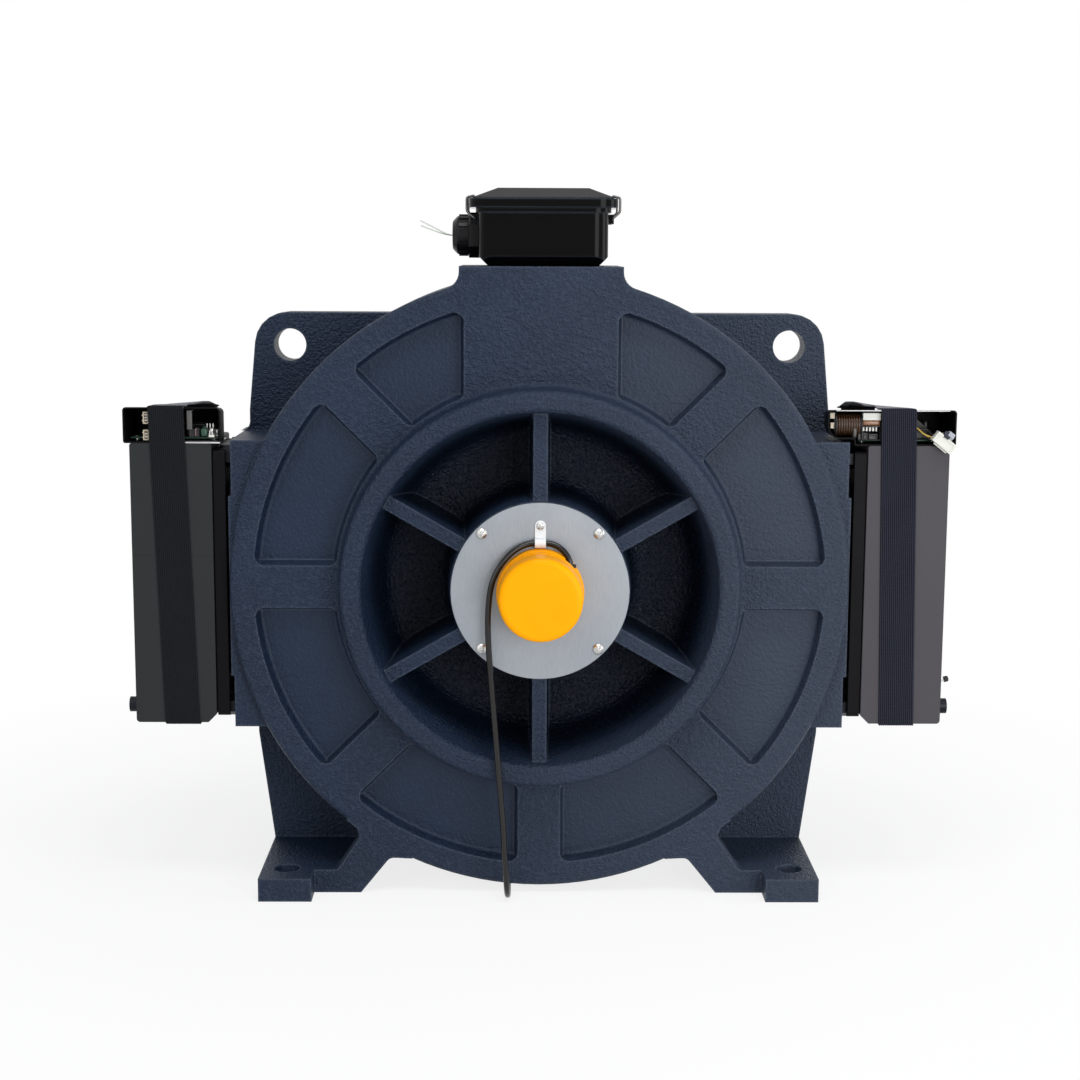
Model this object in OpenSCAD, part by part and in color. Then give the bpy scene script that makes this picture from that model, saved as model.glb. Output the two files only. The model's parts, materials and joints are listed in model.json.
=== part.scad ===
// Gearless elevator traction machine: a cast housing on two foot rails, an outer rotor that is
// also the brake drum, a traction sheave on the far side, and a spring-applied brake on each side.
// Millimetres. The origin is on the floor, at the centre of the four foot holes. X runs across the
// machine, Y along the shaft from the encoder towards the sheave, Z up.

/* [Frame] */
// Clearance between the floor and the round housing
floor_gap = 6; // [5:1:30]
// Thickness of the round housing wall
housing_wall = 18; // [14:1:18]
// Running gap between the brake drum and the housing
drum_gap = 6; // [5:1:9]
// Distance from the front face of the ring boss to the front face of the round housing
disc_d = 22; // [18:1:26]
// Thickness of the round housing's front wall
disc_t = 24; // [20:1:26]
// Depth of the cast pockets between the ribs
pocket_depth = 12; // [8:1:14]
// Width of the ribs between the pockets
rib_w = 36; // [26:1:44]
// Width of the rim outside the pockets
rim_w = 20; // [16:1:26]
// Radial width of the raised ring boss
boss_w = 18; // [14:1:22]
// Wall between the recess and the stator's seat
recess_wall = 11; // [9:1:16]
// How far the recess narrows from the ring boss to its dished floor
recess_taper = 18; // [14:1:22]
// Depth of the recess floor behind the ring boss
floor_d = 84; // [78:1:86]
// Outer radius of the bearing hub
hub_r = 75; // [74:1:79]
// Width of the recess spokes at their front edge
spoke_w = 12; // [8:1:16]
// Number of recess spokes
spokes = 6; // [4:1:8]
// Distance from the ring boss to the front of the mounting plate
back_plate_d = 115; // [112:1:118]
// Thickness of the mounting plate
back_plate_t = 32; // [26:1:36]
// How far the lifting eyes lie inside the round housing's width
lug_in = 43; // [38:1:48]
// How far the lifting eyes lie below the round housing's top
lug_down = 63; // [56:1:70]
// Radius of the lifting eye holes
lug_hole_r = 14; // [10:1:16]
// Outer radius of the lifting eyes
lug_r = 28; // [25:1:32]
// Width of the terminal pad on top of the housing
pad_w = 135; // [130:1:145]
// How far the terminal pad stands above the round housing
pad_rise = 6; // [4:1:12]

/* [Feet] */
// Foot hole spacing across the machine
foot_pitch_x = 431; // [426:1:440]
// Foot hole spacing along the shaft
foot_pitch_y = 200; // [190:1:220]
// Diameter of the foot holes, for M20 bolts
foot_hole_d = 22; // [18:0.5:24]
// Thickness of the foot rails
foot_t = 20; // [16:1:24]
// Width of the foot rails
foot_w = 45; // [40:1:50]
// Distance from a foot hole to the end of its rail
foot_end = 28; // [24:1:34]

/* [Motor] */
// Outer radius of the brake drum, which is the rotor
drum_r = 236; // [234:1:238]
// Wall of the brake drum
drum_wall = 21; // [18:1:22]
// Thickness of the rotor magnets
magnet_t = 6; // [5:0.5:7]
// Number of rotor magnets
magnets = 32; // [20:2:40]
// Air gap between the magnets and the stator
air_gap = 1; // [0.8:0.1:1.5]
// Length of the stator core along the shaft
stator_len = 36; // [30:1:38]
// Radial depth of the stator core
core_depth = 48; // [44:1:52]
// Number of stator slots
slots = 36; // [24:6:48]
// Width of a stator slot
slot_w = 8; // [6:0.5:9]
// Thickness of the rotor web
web_t = 16; // [14:1:18]

/* [Shaft and bearings] */
// Shaft radius in the rear bearing
rear_seat_r = 35; // [32:1:37]
// Outer radius of the rear bearing
rear_bearing_r = 62.5; // [60:0.5:63]
// Width of the rear bearing
rear_bearing_w = 24; // [22:1:26]
// Shaft radius in the main bearing
main_seat_r = 40; // [39:1:42]
// Outer radius of the main bearing
main_bearing_r = 70; // [68:1:71]
// Width of the main bearing
main_bearing_w = 26; // [24:1:28]
// Shaft radius in the rotor
rotor_seat_r = 45; // [44:0.5:46]

/* [Traction sheave] */
// Outer radius of the traction sheave
sheave_r = 200; // [180:1:204]
// Number of rope grooves
grooves = 6; // [3:1:7]
// Distance between rope grooves
groove_pitch = 15; // [14:0.5:17]
// Diameter of the traction ropes
rope_d = 10; // [8:1:10]
// Number of bolts that hold the sheave
sheave_bolt_count = 8; // [6:1:10]
// Circle radius of the sheave bolts
sheave_bolt_circle = 100; // [94:1:106]

/* [Brakes] */
// Distance from the brake drum to the brake mounting faces
block_gap = 22; // [20:1:26]
// Half height of the brake mounting blocks
block_z = 122; // [118:1:126]
// Length of the hexagonal spacing sleeves
sleeve_len = 16; // [15:0.5:18]
// Width of the brake magnet across the machine
magnet_w = 68; // [62:1:74]
// Half height of the brake magnet
magnet_z = 119; // [116:1:124]
// Length of the brake magnet along the shaft
magnet_len = 100; // [96:1:110]
// Thickness of the armature plate
armature_t = 10; // [8:0.5:10]
// Gap between the armature and the magnet while the brake is on
release_gap = 0.8; // [0.6:0.1:0.9]
// Thickness of the brake lining
lining_t = 7.5; // [6:0.5:9]
// Width of the brake lining along the drum
lining_w = 54; // [44:1:56]
// Height of the brake cover at its open front
cover_h = 30; // [26:1:40]
// Length of the brake cover along the shaft
cover_len = 60; // [50:1:80]
// Sheet thickness of the brake cover
cover_t = 1.2; // [1:0.1:2]
// Width of the woven strap
strap_w = 30; // [20:1:40]
// Thickness of the woven strap
strap_t = 2; // [1.5:0.1:2.5]

/* [Encoder] */
// Radius of the galvanised encoder plate
encoder_plate_r = 74; // [72:1:74]
// Thickness of the encoder plate
encoder_plate_t = 3; // [2:0.5:4]
// Radius of the yellow encoder cap
cap_r = 34.4; // [32:0.2:36]
// Distance from the encoder plate to the front of the cap
cap_len = 44; // [40:1:48]
// Diameter of the encoder cable
cable_d = 5; // [4:0.5:5]

/* [Terminal box] */
// Width of the terminal box
box_w = 108; // [100:1:116]
// Length of the terminal box along the shaft
box_len = 92; // [84:1:98]
// Height of the terminal box
box_h = 48; // [44:1:60]
// Wall of the terminal box
box_wall = 3; // [2:0.5:4]
// How far the lid stands out past the box
lid_over = 8; // [6:0.5:9]
// Radius of the cable gland's dome nut
gland_r = 17.5; // [15:0.5:18]

/* [Hidden] */
$fn = 96;
fit = 0.05;          // radial clearance of a fitted pair
seat_gap = 0.3;      // clearance of a piece that lies on another
eps = 1;             // how far a cut runs past a face

// Depths are measured from the ring boss's front face, away from the encoder.
hole_d = 27;                                    // depth of the front foot holes
front_y = -foot_pitch_y / 2 - hole_d;
cavity_r = drum_r + drum_gap;
disc_r = cavity_r + housing_wall;
shaft_h = disc_r + floor_gap;
lug_x = disc_r - lug_in;
lug_z = disc_r - lug_down;
pad_z = disc_r + pad_rise;
disc_back = disc_d + disc_t;
back_end = back_plate_d + back_plate_t;
floor_t = 20;
hub_end = floor_d + floor_t + 3;
hub_back_r = main_bearing_r + 26;
stop_d = disc_back + 12;                        // the stator core's end stop
core_r = drum_r - drum_wall - magnet_t - air_gap;
seat_r = core_r - core_depth;
stop_r = seat_r + 14;
recess_r = seat_r - recess_wall;
recess_floor_r = recess_r - recess_taper;
boss_r = recess_r + boss_w;
core_end = stop_d + stator_len;
slot_bottom_r = seat_r + 16;
plate_d = encoder_plate_t;                      // front of the encoder plate
hub_face = 2 * encoder_plate_t;
rear_bearing_d = disc_d;
rear_bearing_end = rear_bearing_d + rear_bearing_w;
main_bearing_d = hub_end - 35;
main_bearing_end = main_bearing_d + main_bearing_w;
web_d = hub_end + 15;
web_end = web_d + web_t;
drum_front = disc_back + 4;
rotor_hub_r = rotor_seat_r + 17;
rotor_hub_end = web_end + 26;
shaft_end = rotor_hub_end - 2;
end_plate_t = 10;
end_bolt_circle = 26;
sheave_web_t = 24;
sheave_lip = 7;
rim_start = web_end + 8;
rim_w_total = grooves * groove_pitch + 2 * sheave_lip;
rim_inner = sheave_r - 32;
sheave_hole_circle = (sheave_bolt_circle + rim_inner) / 2;
key_w = 24;
key_h = 14;
key_len = 30;

foot_x = foot_pitch_x / 2;
rail_out = foot_x + 21.5;
rail_in = rail_out - foot_w;
rail_front = hole_d - foot_end - 1;
rail_end = hole_d + foot_pitch_y + foot_end;
strut_foot_x = 152;

block_x = drum_r + block_gap;
block_d = 30;                                   // front of the brake mounting blocks
raised_t = 2.5;
window_z = 84;
shoe_z = 80;
brake_mid = back_plate_d - 33;                  // middle of the brake along the shaft
window_len = lining_w + 6;
magnet_x = block_x + sleeve_len;
magnet_out = magnet_x + magnet_w;
magnet_d = brake_mid - magnet_len / 2;
armature_x = magnet_x - release_gap - armature_t;
armature_z = magnet_z - 5;
armature_len = magnet_len - 4;
coil_z = 55;
coil_r = 42;
pole_r = 25;
coil_len = 41;
spring_bore_r = 12.5;
spring_r = 11;
spring_wire = 4;
spring_turns = 5;
spring_pocket = 40;
guide_r = 5;
guide_pitch = 44;
bolt_r = 4;
bolt_z = 107;
bolt_pitch = magnet_len - 32;
bolt_head_r = 6.5;
bolt_head_h = 8;
bolt_grip = 20;
sleeve_af = 16;
cover_over = 5;                                 // how far the covers stand out past the magnets
left_cover_x = magnet_x - 8;                    // inner side of each cover
right_cover_x = magnet_x - 34.5;
cover_step_x = block_x + 4;                     // a wide cover steps up over the mounting block here
cover_step_z = block_z + 2.5;
cover_top = magnet_z + cover_h;
roof_fall = 4.8;                                // slope of the covers' roofs
board_t = 1.6;
board_d = 9;                                    // from the cover's front to the board
board_len = cover_len - board_d - 3;
pillar_h = 7;
left_strap_x = magnet_x + 34;
right_strap_x = magnet_x + 26;

screw_circle = hub_r - 6.5;
encoder_bore_r = 20;
spindle_r = 6;
collar_r = cap_r + 2;
collar_len = 20;
cap_wall = 2.5;
cap_front = plate_d - cap_len;
cap_back = plate_d - collar_len - seat_gap;
cable_r = cable_d / 2;
clip_z = collar_r + 4.6;                        // height of the cable under its clip
clip_w = 9;
clip_reach = 14;                                // from the cable to the clip's screw
clip_t = 1.4;
clip_r = cable_r + 0.2;
clip_y = plate_d - clip_t - clip_r;

exit_x = 25;                                    // the cable rises out of the collar's right side
exit_z = 20.5;
exit_d = plate_d - 9;
grommet_r = 4.5;
// The cable's route, as X, depth from the ring boss and height: out of its grommet, over the
// encoder under the clip and down its left side, with heights above the shaft
upper_route = [
    [25, -6, 20.5], [24.3, -5.7, 25.8], [22.3, -4.7, 30.8], [19, -3.5, 35], [14.8, -2.3, 38.3],
    [9.8, -1.3, 40.3], [4.5, -1, 41], [0, -1, 41], [-4.5, -1, 41], [-10, -1.3, 40.3], [-17, -2.4, 37.7],
    [-24.5, -4.3, 32.6], [-31, -6.3, 25.5], [-36.5, -8, 16.5], [-40.3, -9.3, 6], [-42.3, -10, -8],
    [-43, -10, -26], [-42, -9, -51], [-40, -8, -76], [-38, -7, -101], [-36, -6, -126]];
// and on down the front and under the housing to its coil, with heights above the floor
lower_route = [
    [-34, -6, 115], [-32, -6, 90], [-30, -7, 66], [-29, -8, 44], [-28, -8, 30], [-27.5, -8, 22.6],
    [-27, -6.5, 15], [-26.6, -2.1, 8.5], [-26.3, 4.3, 4.1], [-26, 12, 2.6], [-26, 30, 2.6],
    [-26, 60, 2.6], [-26, 90, 2.6], [-26, 120, 2.6], [-26, 150, 2.6], [-26, 174, 2.6]];
route_points = concat([for (p = upper_route) [p.x, front_y + p.y, shaft_h + p.z]],
                      [for (p = lower_route) [p.x, front_y + p.y, p.z]]);
coil_x = -56;
coil_d = 182;
coil_in = 22;
coil_out = 33;
coil_h = 10.4;
plug_x = coil_x + coil_out - 2.8;               // the cable leaves the coil straight towards its plug
plug_y = front_y + coil_d + sqrt(pow(coil_out, 2) - pow(plug_x - coil_x - 8, 2)) - 0.3;

box_x = 2;
box_d = 48;
box_z = pad_z;
box_top = box_z + box_h;
box_mid = box_d + box_len / 2;
box_round = 12;
box_chamfer = 8;
box_screw_in = 20;                              // the box's screws lie this far inside its sides
lid_flange = 7.5;
lid_crown = 9;
gland_z = box_z + 25.5;
gland_x = box_x - box_w / 2;
wire_r = 0.6;
wire_y = 1.3;                                   // the two sensor wires lie this far from the gland's axis
bail_wire = 1.1;
bail_half = 26;
bail_z = box_top - 9;
bail_x = box_w / 2 + 3.2;

casting_blue = [0.16, 0.21, 0.31];
brake_grey = [0.24, 0.25, 0.26];
zinc = [0.68, 0.70, 0.72];
bright_steel = [0.62, 0.62, 0.60];
black_plastic = [0.04, 0.04, 0.045];
encoder_yellow = [1.0, 0.70, 0.0];

// ---- helpers ----

// A body of revolution about the shaft, from a profile in radius and depth
module about_shaft() {
    translate([0, front_y, shaft_h]) rotate([-90, 0, 0]) rotate_extrude() children();
}

// Pieces placed about the shaft: local Z is depth, local X stays X
module on_shaft(d = 0, turn = 0) {
    translate([0, front_y + d, shaft_h]) rotate([-90, 0, 0]) rotate([0, 0, turn]) children();
}

// An outline in X and height above the shaft, t thick from depth d
module across(d, t) {
    translate([0, front_y + d + t, shaft_h]) rotate([90, 0, 0]) linear_extrude(t) children();
}

// An outline in depth and height above the shaft, t thick from x
module along(x, t) {
    translate([x, front_y, shaft_h]) rotate([90, 0, 90]) linear_extrude(t) children();
}

// A rod along X from x0 to x1, at depth d and height z above the shaft
module cross_rod(x0, x1, d, z, r, fn = 48) {
    translate([x0, front_y + d, shaft_h + z]) rotate([0, 90, 0]) cylinder(h = x1 - x0, r = r, $fn = fn);
}

// side is 1 on the right and -1 on the left
module on_side(side) {
    mirror([side < 0 ? 1 : 0, 0, 0]) children();
}

module both_sides() {
    children();
    mirror([1, 0, 0]) children();
}

function unit(v) = v / norm(v);

// The points that round the corner b, between a and c, with radius r
function corner(a, b, c, r, n = 5) =
    r == 0 ? [[b.x, b.y]] :
    let (u = unit([a.x - b.x, a.y - b.y]), v = unit([c.x - b.x, c.y - b.y]),
         half = acos(u * v) / 2, p = [b.x, b.y] + u * r / tan(half),
         m = [b.x, b.y] + unit(u + v) * r / sin(half), q = [b.x, b.y] + v * r / tan(half),
         a0 = atan2(p.y - m.y, p.x - m.x), a1 = atan2(q.y - m.y, q.x - m.x),
         turn = (a1 - a0 + 900) % 360 - 180)
    [for (i = [0:n]) m + r * [cos(a0 + turn * i / n), sin(a0 + turn * i / n)]];

// An outline from [x, y, corner radius] points
function rounded(pts, n = 5) = [
    for (i = [0:len(pts) - 1], p = corner(pts[(i + len(pts) - 1) % len(pts)], pts[i],
                                          pts[(i + 1) % len(pts)], pts[i].z, n)) p];

// A convex outline moved outwards by t, its points given clockwise
function grown(pts, t) = [
    for (i = [0:len(pts) - 1])
        let (n = len(pts), u = unit(pts[i] - pts[(i + n - 1) % n]), v = unit(pts[(i + 1) % n] - pts[i]),
             a = [-u.y, u.x], b = [-v.y, v.x])
        pts[i] + t * (a + b) / (1 + a * b)];

// The same corner radius on every point
function all_round(pts, r) = rounded([for (p = pts) [p.x, p.y, r]]);

// A rectangle with true round corners
module round_rect(x0, x1, y0, y1, r) {
    translate([x0 + r, y0]) square([x1 - x0 - 2 * r, y1 - y0]);
    translate([x0, y0 + r]) square([x1 - x0, y1 - y0 - 2 * r]);
    for (x = [x0 + r, x1 - r], y = [y0 + r, y1 - r]) translate([x, y]) circle(r, $fn = 32);
}

// ---- frame ----

// The front of the housing from the shaft outwards, as radius and depth
function bell_front() = rounded([
    [0, hub_face, 0], [hub_r, hub_face, 1.5], [hub_r + 6, floor_d, 14],
    [recess_floor_r - 1, floor_d, 20], [recess_r, 0, 5], [boss_r - 1, 0, 5],
    [boss_r + 1, disc_d, 5], [disc_r, disc_d, 4], [disc_r, back_end, 0], [0, back_end, 0]]);

// The space inside the housing, open at the sheave end, with the stator seat and the hub left
function cavity() = rounded([
    [0, hub_end, 0], [hub_back_r, hub_end, 2], [hub_back_r + 3, floor_d + floor_t, 8],
    [seat_r, floor_d + floor_t, 2], [seat_r, stop_d, 0], [stop_r, stop_d, 0],
    [stop_r + 2, disc_back, 3], [cavity_r, disc_back, 10], [cavity_r, back_end + eps, 0],
    [0, back_end + eps, 0]]);

module pocket_ring() {
    draft = pocket_depth / 4;
    about_shaft() polygon(rounded([
        [boss_r + 4, disc_d - eps, 0], [disc_r - rim_w, disc_d - eps, 0],
        [disc_r - rim_w - draft, disc_d + pocket_depth, 3],
        [boss_r + 4 + draft, disc_d + pocket_depth, 3]]));
}

// A rib of the pocketed face: its flanks lean out towards the pocket floor
module face_rib(w, r0, r1, turn) {
    top = w / 2;
    foot = w / 2 + pocket_depth / 4;
    on_shaft(0, turn) rotate([90, 0, 90]) translate([0, 0, r0]) linear_extrude(r1 - r0)
        polygon([[-top, disc_d - 2 * eps], [top, disc_d - 2 * eps], [top, disc_d],
                 [foot, disc_d + pocket_depth], [foot, disc_d + pocket_depth + eps],
                 [-foot, disc_d + pocket_depth + eps], [-foot, disc_d + pocket_depth], [-top, disc_d]]);
}

// The outline of the pocket between two ribs, as turn and width, with its four corners rounded
function pocket_outline(one, two) =
    let (r1 = boss_r + 4 - seat_gap, r2 = disc_r - rim_w + seat_gap, n = 6,
         ends = [for (r = [r2, r1]) [one[0] + asin((one[1] / 2 - seat_gap) / r),
                                     two[0] - asin((two[1] / 2 - seat_gap) / r)]],
         outer = [for (i = [0:n]) let (a = ends[0][0] + (ends[0][1] - ends[0][0]) * i / n)
                  [r2 * cos(a), r2 * sin(a), i % n == 0 ? 9 : 0]],
         inner = [for (i = [0:n]) let (a = ends[1][1] + (ends[1][0] - ends[1][1]) * i / n)
                  [r1 * cos(a), r1 * sin(a), i % n == 0 ? 9 : 0]])
    rounded(concat(outer, inner));

module pockets() {
    ribs = [for (turn = [-45:45:225]) [turn, rib_w]];
    pad_rib = [270, pad_w - 8];
    round_face = concat([[-90, pad_rib[1]]], ribs, [pad_rib]);
    intersection() {
        difference() {
            pocket_ring();
            for (rib = ribs) face_rib(rib[1], boss_r - 10, disc_r, rib[0]);
            face_rib(pad_rib[1], boss_r - 10, disc_r, pad_rib[0]);
        }
        on_shaft(disc_d - 2 * eps) linear_extrude(pocket_depth + 4 * eps)
            for (i = [0:len(round_face) - 2]) polygon(pocket_outline(round_face[i], round_face[i + 1]));
    }
}

module spoke(turn) {
    tip = 9;
    on_shaft(0, turn) rotate([90, 0, 90]) translate([0, 0, hub_r - 8]) linear_extrude(recess_r - hub_r + 12)
        polygon([[-spoke_w / 2, tip], [spoke_w / 2, tip], [spoke_w / 2 + 3, floor_d + 4],
                 [-spoke_w / 2 - 3, floor_d + 4]]);
}

// The right half of the mounting plate with its lifting eye, brake face and leg
module plate_half() {
    leg_in = 120;
    polygon(rounded([
        [0, lug_z + lug_r - 40, 0], [100, lug_z + lug_r, 0], [lug_x + lug_r, lug_z + lug_r, lug_r],
        [block_x - 5, block_z + 18, 30], [block_x - 5, block_z, 8], [block_x, block_z, 1.5],
        [block_x, -block_z, 1.5], [block_x - 8, -block_z, 0],
        [block_x - 8, -block_z - 26, 30], [rail_out, foot_t - shaft_h, 0], [rail_out, -shaft_h, 0],
        [leg_in, -shaft_h, 0], [leg_in, 40 - shaft_h, 10], [0, 100 - shaft_h, 0]]));
}

// The leg in the plane of the round face: a slanted strut on a short flange
module strut() {
    polygon(rounded([
        [strut_foot_x, -shaft_h, 0], [rail_in + 2, -shaft_h, 0], [rail_in + 2, foot_t - shaft_h, 0],
        [strut_foot_x + 20, foot_t - shaft_h, 6], [150, 53 - shaft_h, 10], [164, 64 - shaft_h, 0],
        [100, 90 - shaft_h, 0], [108, 30 - shaft_h, 0], [127, 31 - shaft_h, 8]]));
}

module terminal_pad() {
    fillet = 14;
    half = pad_w / 2;
    mid_z = sqrt(pow(disc_r + fillet, 2) - pow(half + fillet, 2));
    a1 = atan2(mid_z, half + fillet);
    side_arc = [for (i = [0:6]) let (a = 180 + a1 * i / 6)
                [half + fillet + fillet * cos(a), mid_z + fillet * sin(a)]];
    flip = [for (i = [len(side_arc) - 1:-1:0]) [-side_arc[i].x, side_arc[i].y]];
    across(disc_d, back_end - disc_d)
        polygon(concat([[half, pad_z]], side_arc, [[half, 200], [-half, 200]], flip, [[-half, pad_z]]));
}

module foot_rail() {
    translate([rail_in, front_y + rail_front, 0])
        cube([foot_w, rail_end - rail_front, foot_t]);
}

module gusset() {
    along(rail_in + 12, 16)
        polygon([[back_end - eps, -shaft_h + foot_t - eps], [rail_end - 34, -shaft_h + foot_t - eps],
                 [rail_end - 34, -shaft_h + foot_t + 8], [back_end + 10, -shaft_h + 165],
                 [back_end - eps, -shaft_h + 180]]);
}

module frame_solid() {
    about_shaft() polygon(bell_front());
    for (i = [0:spokes - 1]) spoke(-90 + i * 360 / spokes);
    terminal_pad();
    both_sides() {
        across(back_plate_d, back_plate_t) plate_half();
        across(block_d, back_plate_d - block_d + eps)
            translate([disc_r - 60, -block_z]) square([block_x - disc_r + 60, 2 * block_z]);
        across(block_d, back_end - block_d - 4)
            translate([block_x - eps, -window_z + 6]) square([raised_t + eps, 2 * window_z - 15]);
        across(disc_d, disc_t) strut();
        translate([strut_foot_x, front_y + disc_d, 0])
            cube([rail_in + eps - strut_foot_x, back_end - disc_d, foot_t]);
        foot_rail();
        gusset();
    }
}

module frame_casting() {
    color(casting_blue) difference() {
        frame_solid();
        about_shaft() polygon(cavity());
        pockets();
        // bearing bores and the shaft's way between them
        on_shaft(hub_face - eps) cylinder(h = rear_bearing_end - hub_face + 4 + eps, r = rear_bearing_r);
        on_shaft(0) cylinder(h = hub_end, r = main_bearing_r - 18);
        on_shaft(main_bearing_d) cylinder(h = hub_end - main_bearing_d + eps, r = main_bearing_r);
        // encoder plate screws and bearing cap screws
        for (a = [45:90:315])
            on_shaft(hub_face - eps, a) translate([screw_circle, 0, 0])
                cylinder(h = 14, r = 2.5 + fit, $fn = 32);
        for (a = [0:60:300])
            on_shaft(hub_end - 18, a) translate([main_bearing_r + 12, 0, 0])
                cylinder(h = 18 + eps, r = 4 + fit, $fn = 32);
        // lifting eyes, brake windows, brake bolts and foot holes
        both_sides() {
            across(back_plate_d - eps, back_plate_t + 2 * eps) translate([lug_x, lug_z]) circle(lug_hole_r);
            translate([disc_r - 90, front_y + brake_mid - window_len / 2, shaft_h - window_z])
                cube([100, window_len, 2 * window_z]);
            for (d = [-1, 1], z = [-1, 1])
                cross_rod(block_x - bolt_grip - 4, block_x + raised_t + eps, brake_mid + d * bolt_pitch / 2,
                          z * bolt_z, bolt_r + fit);
            for (y = [-1, 1])
                translate([foot_x, y * foot_pitch_y / 2, -eps])
                    cylinder(h = foot_t + 2 * eps, d = foot_hole_d);
        }
        // the terminal pad's cable hole and screw holes
        translate([box_x, front_y + box_mid, shaft_h + disc_r - 40]) cylinder(h = 60, r = 15);
        box_screw_places() translate([0, 0, -12]) cylinder(h = 12 + eps, r = 2.5 + fit, $fn = 32);
    }
}

module main_bearing_cap() {
    color(casting_blue) difference() {
        about_shaft() polygon([
            [rotor_seat_r + 6, hub_end + 7], [rotor_seat_r + 6, main_bearing_end + 3],
            [main_bearing_r - 8, main_bearing_end], [main_bearing_r - fit, main_bearing_end],
            [main_bearing_r - fit, hub_end], [hub_back_r - 2, hub_end], [hub_back_r - 2, hub_end + 7]]);
        for (a = [0:60:300])
            on_shaft(hub_end - eps, a) translate([main_bearing_r + 12, 0, 0])
                cylinder(h = 9 + eps, r = 4.5, $fn = 32);
    }
}

module cap_screws() {
    color(bright_steel) for (a = [0:60:300])
        on_shaft(0, a) translate([main_bearing_r + 12, 0, 0]) {
            translate([0, 0, hub_end - 15]) cylinder(h = 15 + 7, r = 4, $fn = 32);
            translate([0, 0, hub_end + 7]) cylinder(h = 5.3, d = 13 / cos(30), $fn = 6);
        }
}

// ---- bearings ----

function pitch_r(r_in, r_out) = (r_in + r_out) / 2;
function ball_r(r_in, r_out) = (r_out - r_in) * 0.29;

module ball_groove(r_in, r_out, w, d) {
    translate([pitch_r(r_in, r_out), d + w / 2]) circle(ball_r(r_in, r_out) + 0.1, $fn = 64);
}

module bearing_outer(r_in, r_out, w, d) {
    lip = pitch_r(r_in, r_out) + ball_r(r_in, r_out) / 2;
    color(bright_steel) about_shaft() difference() {
        translate([lip, d]) square([r_out - fit - lip, w]);
        ball_groove(r_in, r_out, w, d);
    }
}

module bearing_inner(r_in, r_out, w, d) {
    lip = pitch_r(r_in, r_out) - ball_r(r_in, r_out) / 2;
    color(bright_steel) about_shaft() difference() {
        translate([r_in + fit, d]) square([lip - r_in - fit, w]);
        ball_groove(r_in, r_out, w, d);
    }
}

module bearing_balls(r_in, r_out, w, d) {
    r = ball_r(r_in, r_out);
    mid = pitch_r(r_in, r_out);
    count = floor(180 / asin(1.25 * r / mid));
    color(bright_steel) for (i = [0:count - 1])
        on_shaft(d + w / 2, i * 360 / count) translate([mid, 0, 0]) sphere(r, $fn = 40);
    color([0.72, 0.55, 0.25]) difference() {
        about_shaft() translate([mid - 1.5, d + w / 2 - r - 1.8]) square([3, 2 * r + 3.6]);
        for (i = [0:count - 1])
            on_shaft(d + w / 2, i * 360 / count) translate([mid - 4, 0, 0])
                rotate([0, 90, 0]) cylinder(h = 8, r = r + 0.15, $fn = 40);
    }
}

module rear_bearing_outer_ring() bearing_outer(rear_seat_r, rear_bearing_r, rear_bearing_w, rear_bearing_d);
module rear_bearing_inner_ring() bearing_inner(rear_seat_r, rear_bearing_r, rear_bearing_w, rear_bearing_d);
module rear_bearing_balls() bearing_balls(rear_seat_r, rear_bearing_r, rear_bearing_w, rear_bearing_d);
module main_bearing_outer_ring() bearing_outer(main_seat_r, main_bearing_r, main_bearing_w, main_bearing_d);
module main_bearing_inner_ring() bearing_inner(main_seat_r, main_bearing_r, main_bearing_w, main_bearing_d);
module main_bearing_balls() bearing_balls(main_seat_r, main_bearing_r, main_bearing_w, main_bearing_d);

// ---- motor ----

module slot_cut(narrow = 0) {
    for (i = [0:slots - 1]) rotate(i * 360 / slots)
        translate([slot_bottom_r + narrow, -slot_w / 2 + narrow])
            square([core_r - 3 - slot_bottom_r - 2 * narrow, slot_w - 2 * narrow]);
}

module stator_core() {
    color([0.35, 0.36, 0.38]) on_shaft(stop_d) linear_extrude(stator_len) difference() {
        circle(core_r);
        circle(seat_r + fit);
        slot_cut();
        for (i = [0:slots - 1]) rotate(i * 360 / slots)
            translate([core_r - 4, -slot_w / 4]) square([6, slot_w / 2]);
    }
}

// Copper bars in the slots, joined by the round end turns at both ends
module stator_winding() {
    over = 9;
    color([0.62, 0.30, 0.14]) {
        on_shaft(stop_d - 1) linear_extrude(stator_len + 2) slot_cut(seat_gap);
        for (d = [stop_d - seat_gap - over, core_end + seat_gap]) about_shaft()
            round_rect(slot_bottom_r + 1, core_r - 4, d, d + over, 3.5);
    }
}

module rotor_magnets() {
    step = 360 / magnets;
    color([0.48, 0.49, 0.50]) for (i = [0:magnets - 1])
        on_shaft(0, i * step) rotate_extrude(angle = step - 1.6)
            translate([drum_r - drum_wall - magnet_t, stop_d - 2]) square([magnet_t - fit, stator_len + 4]);
}

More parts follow.
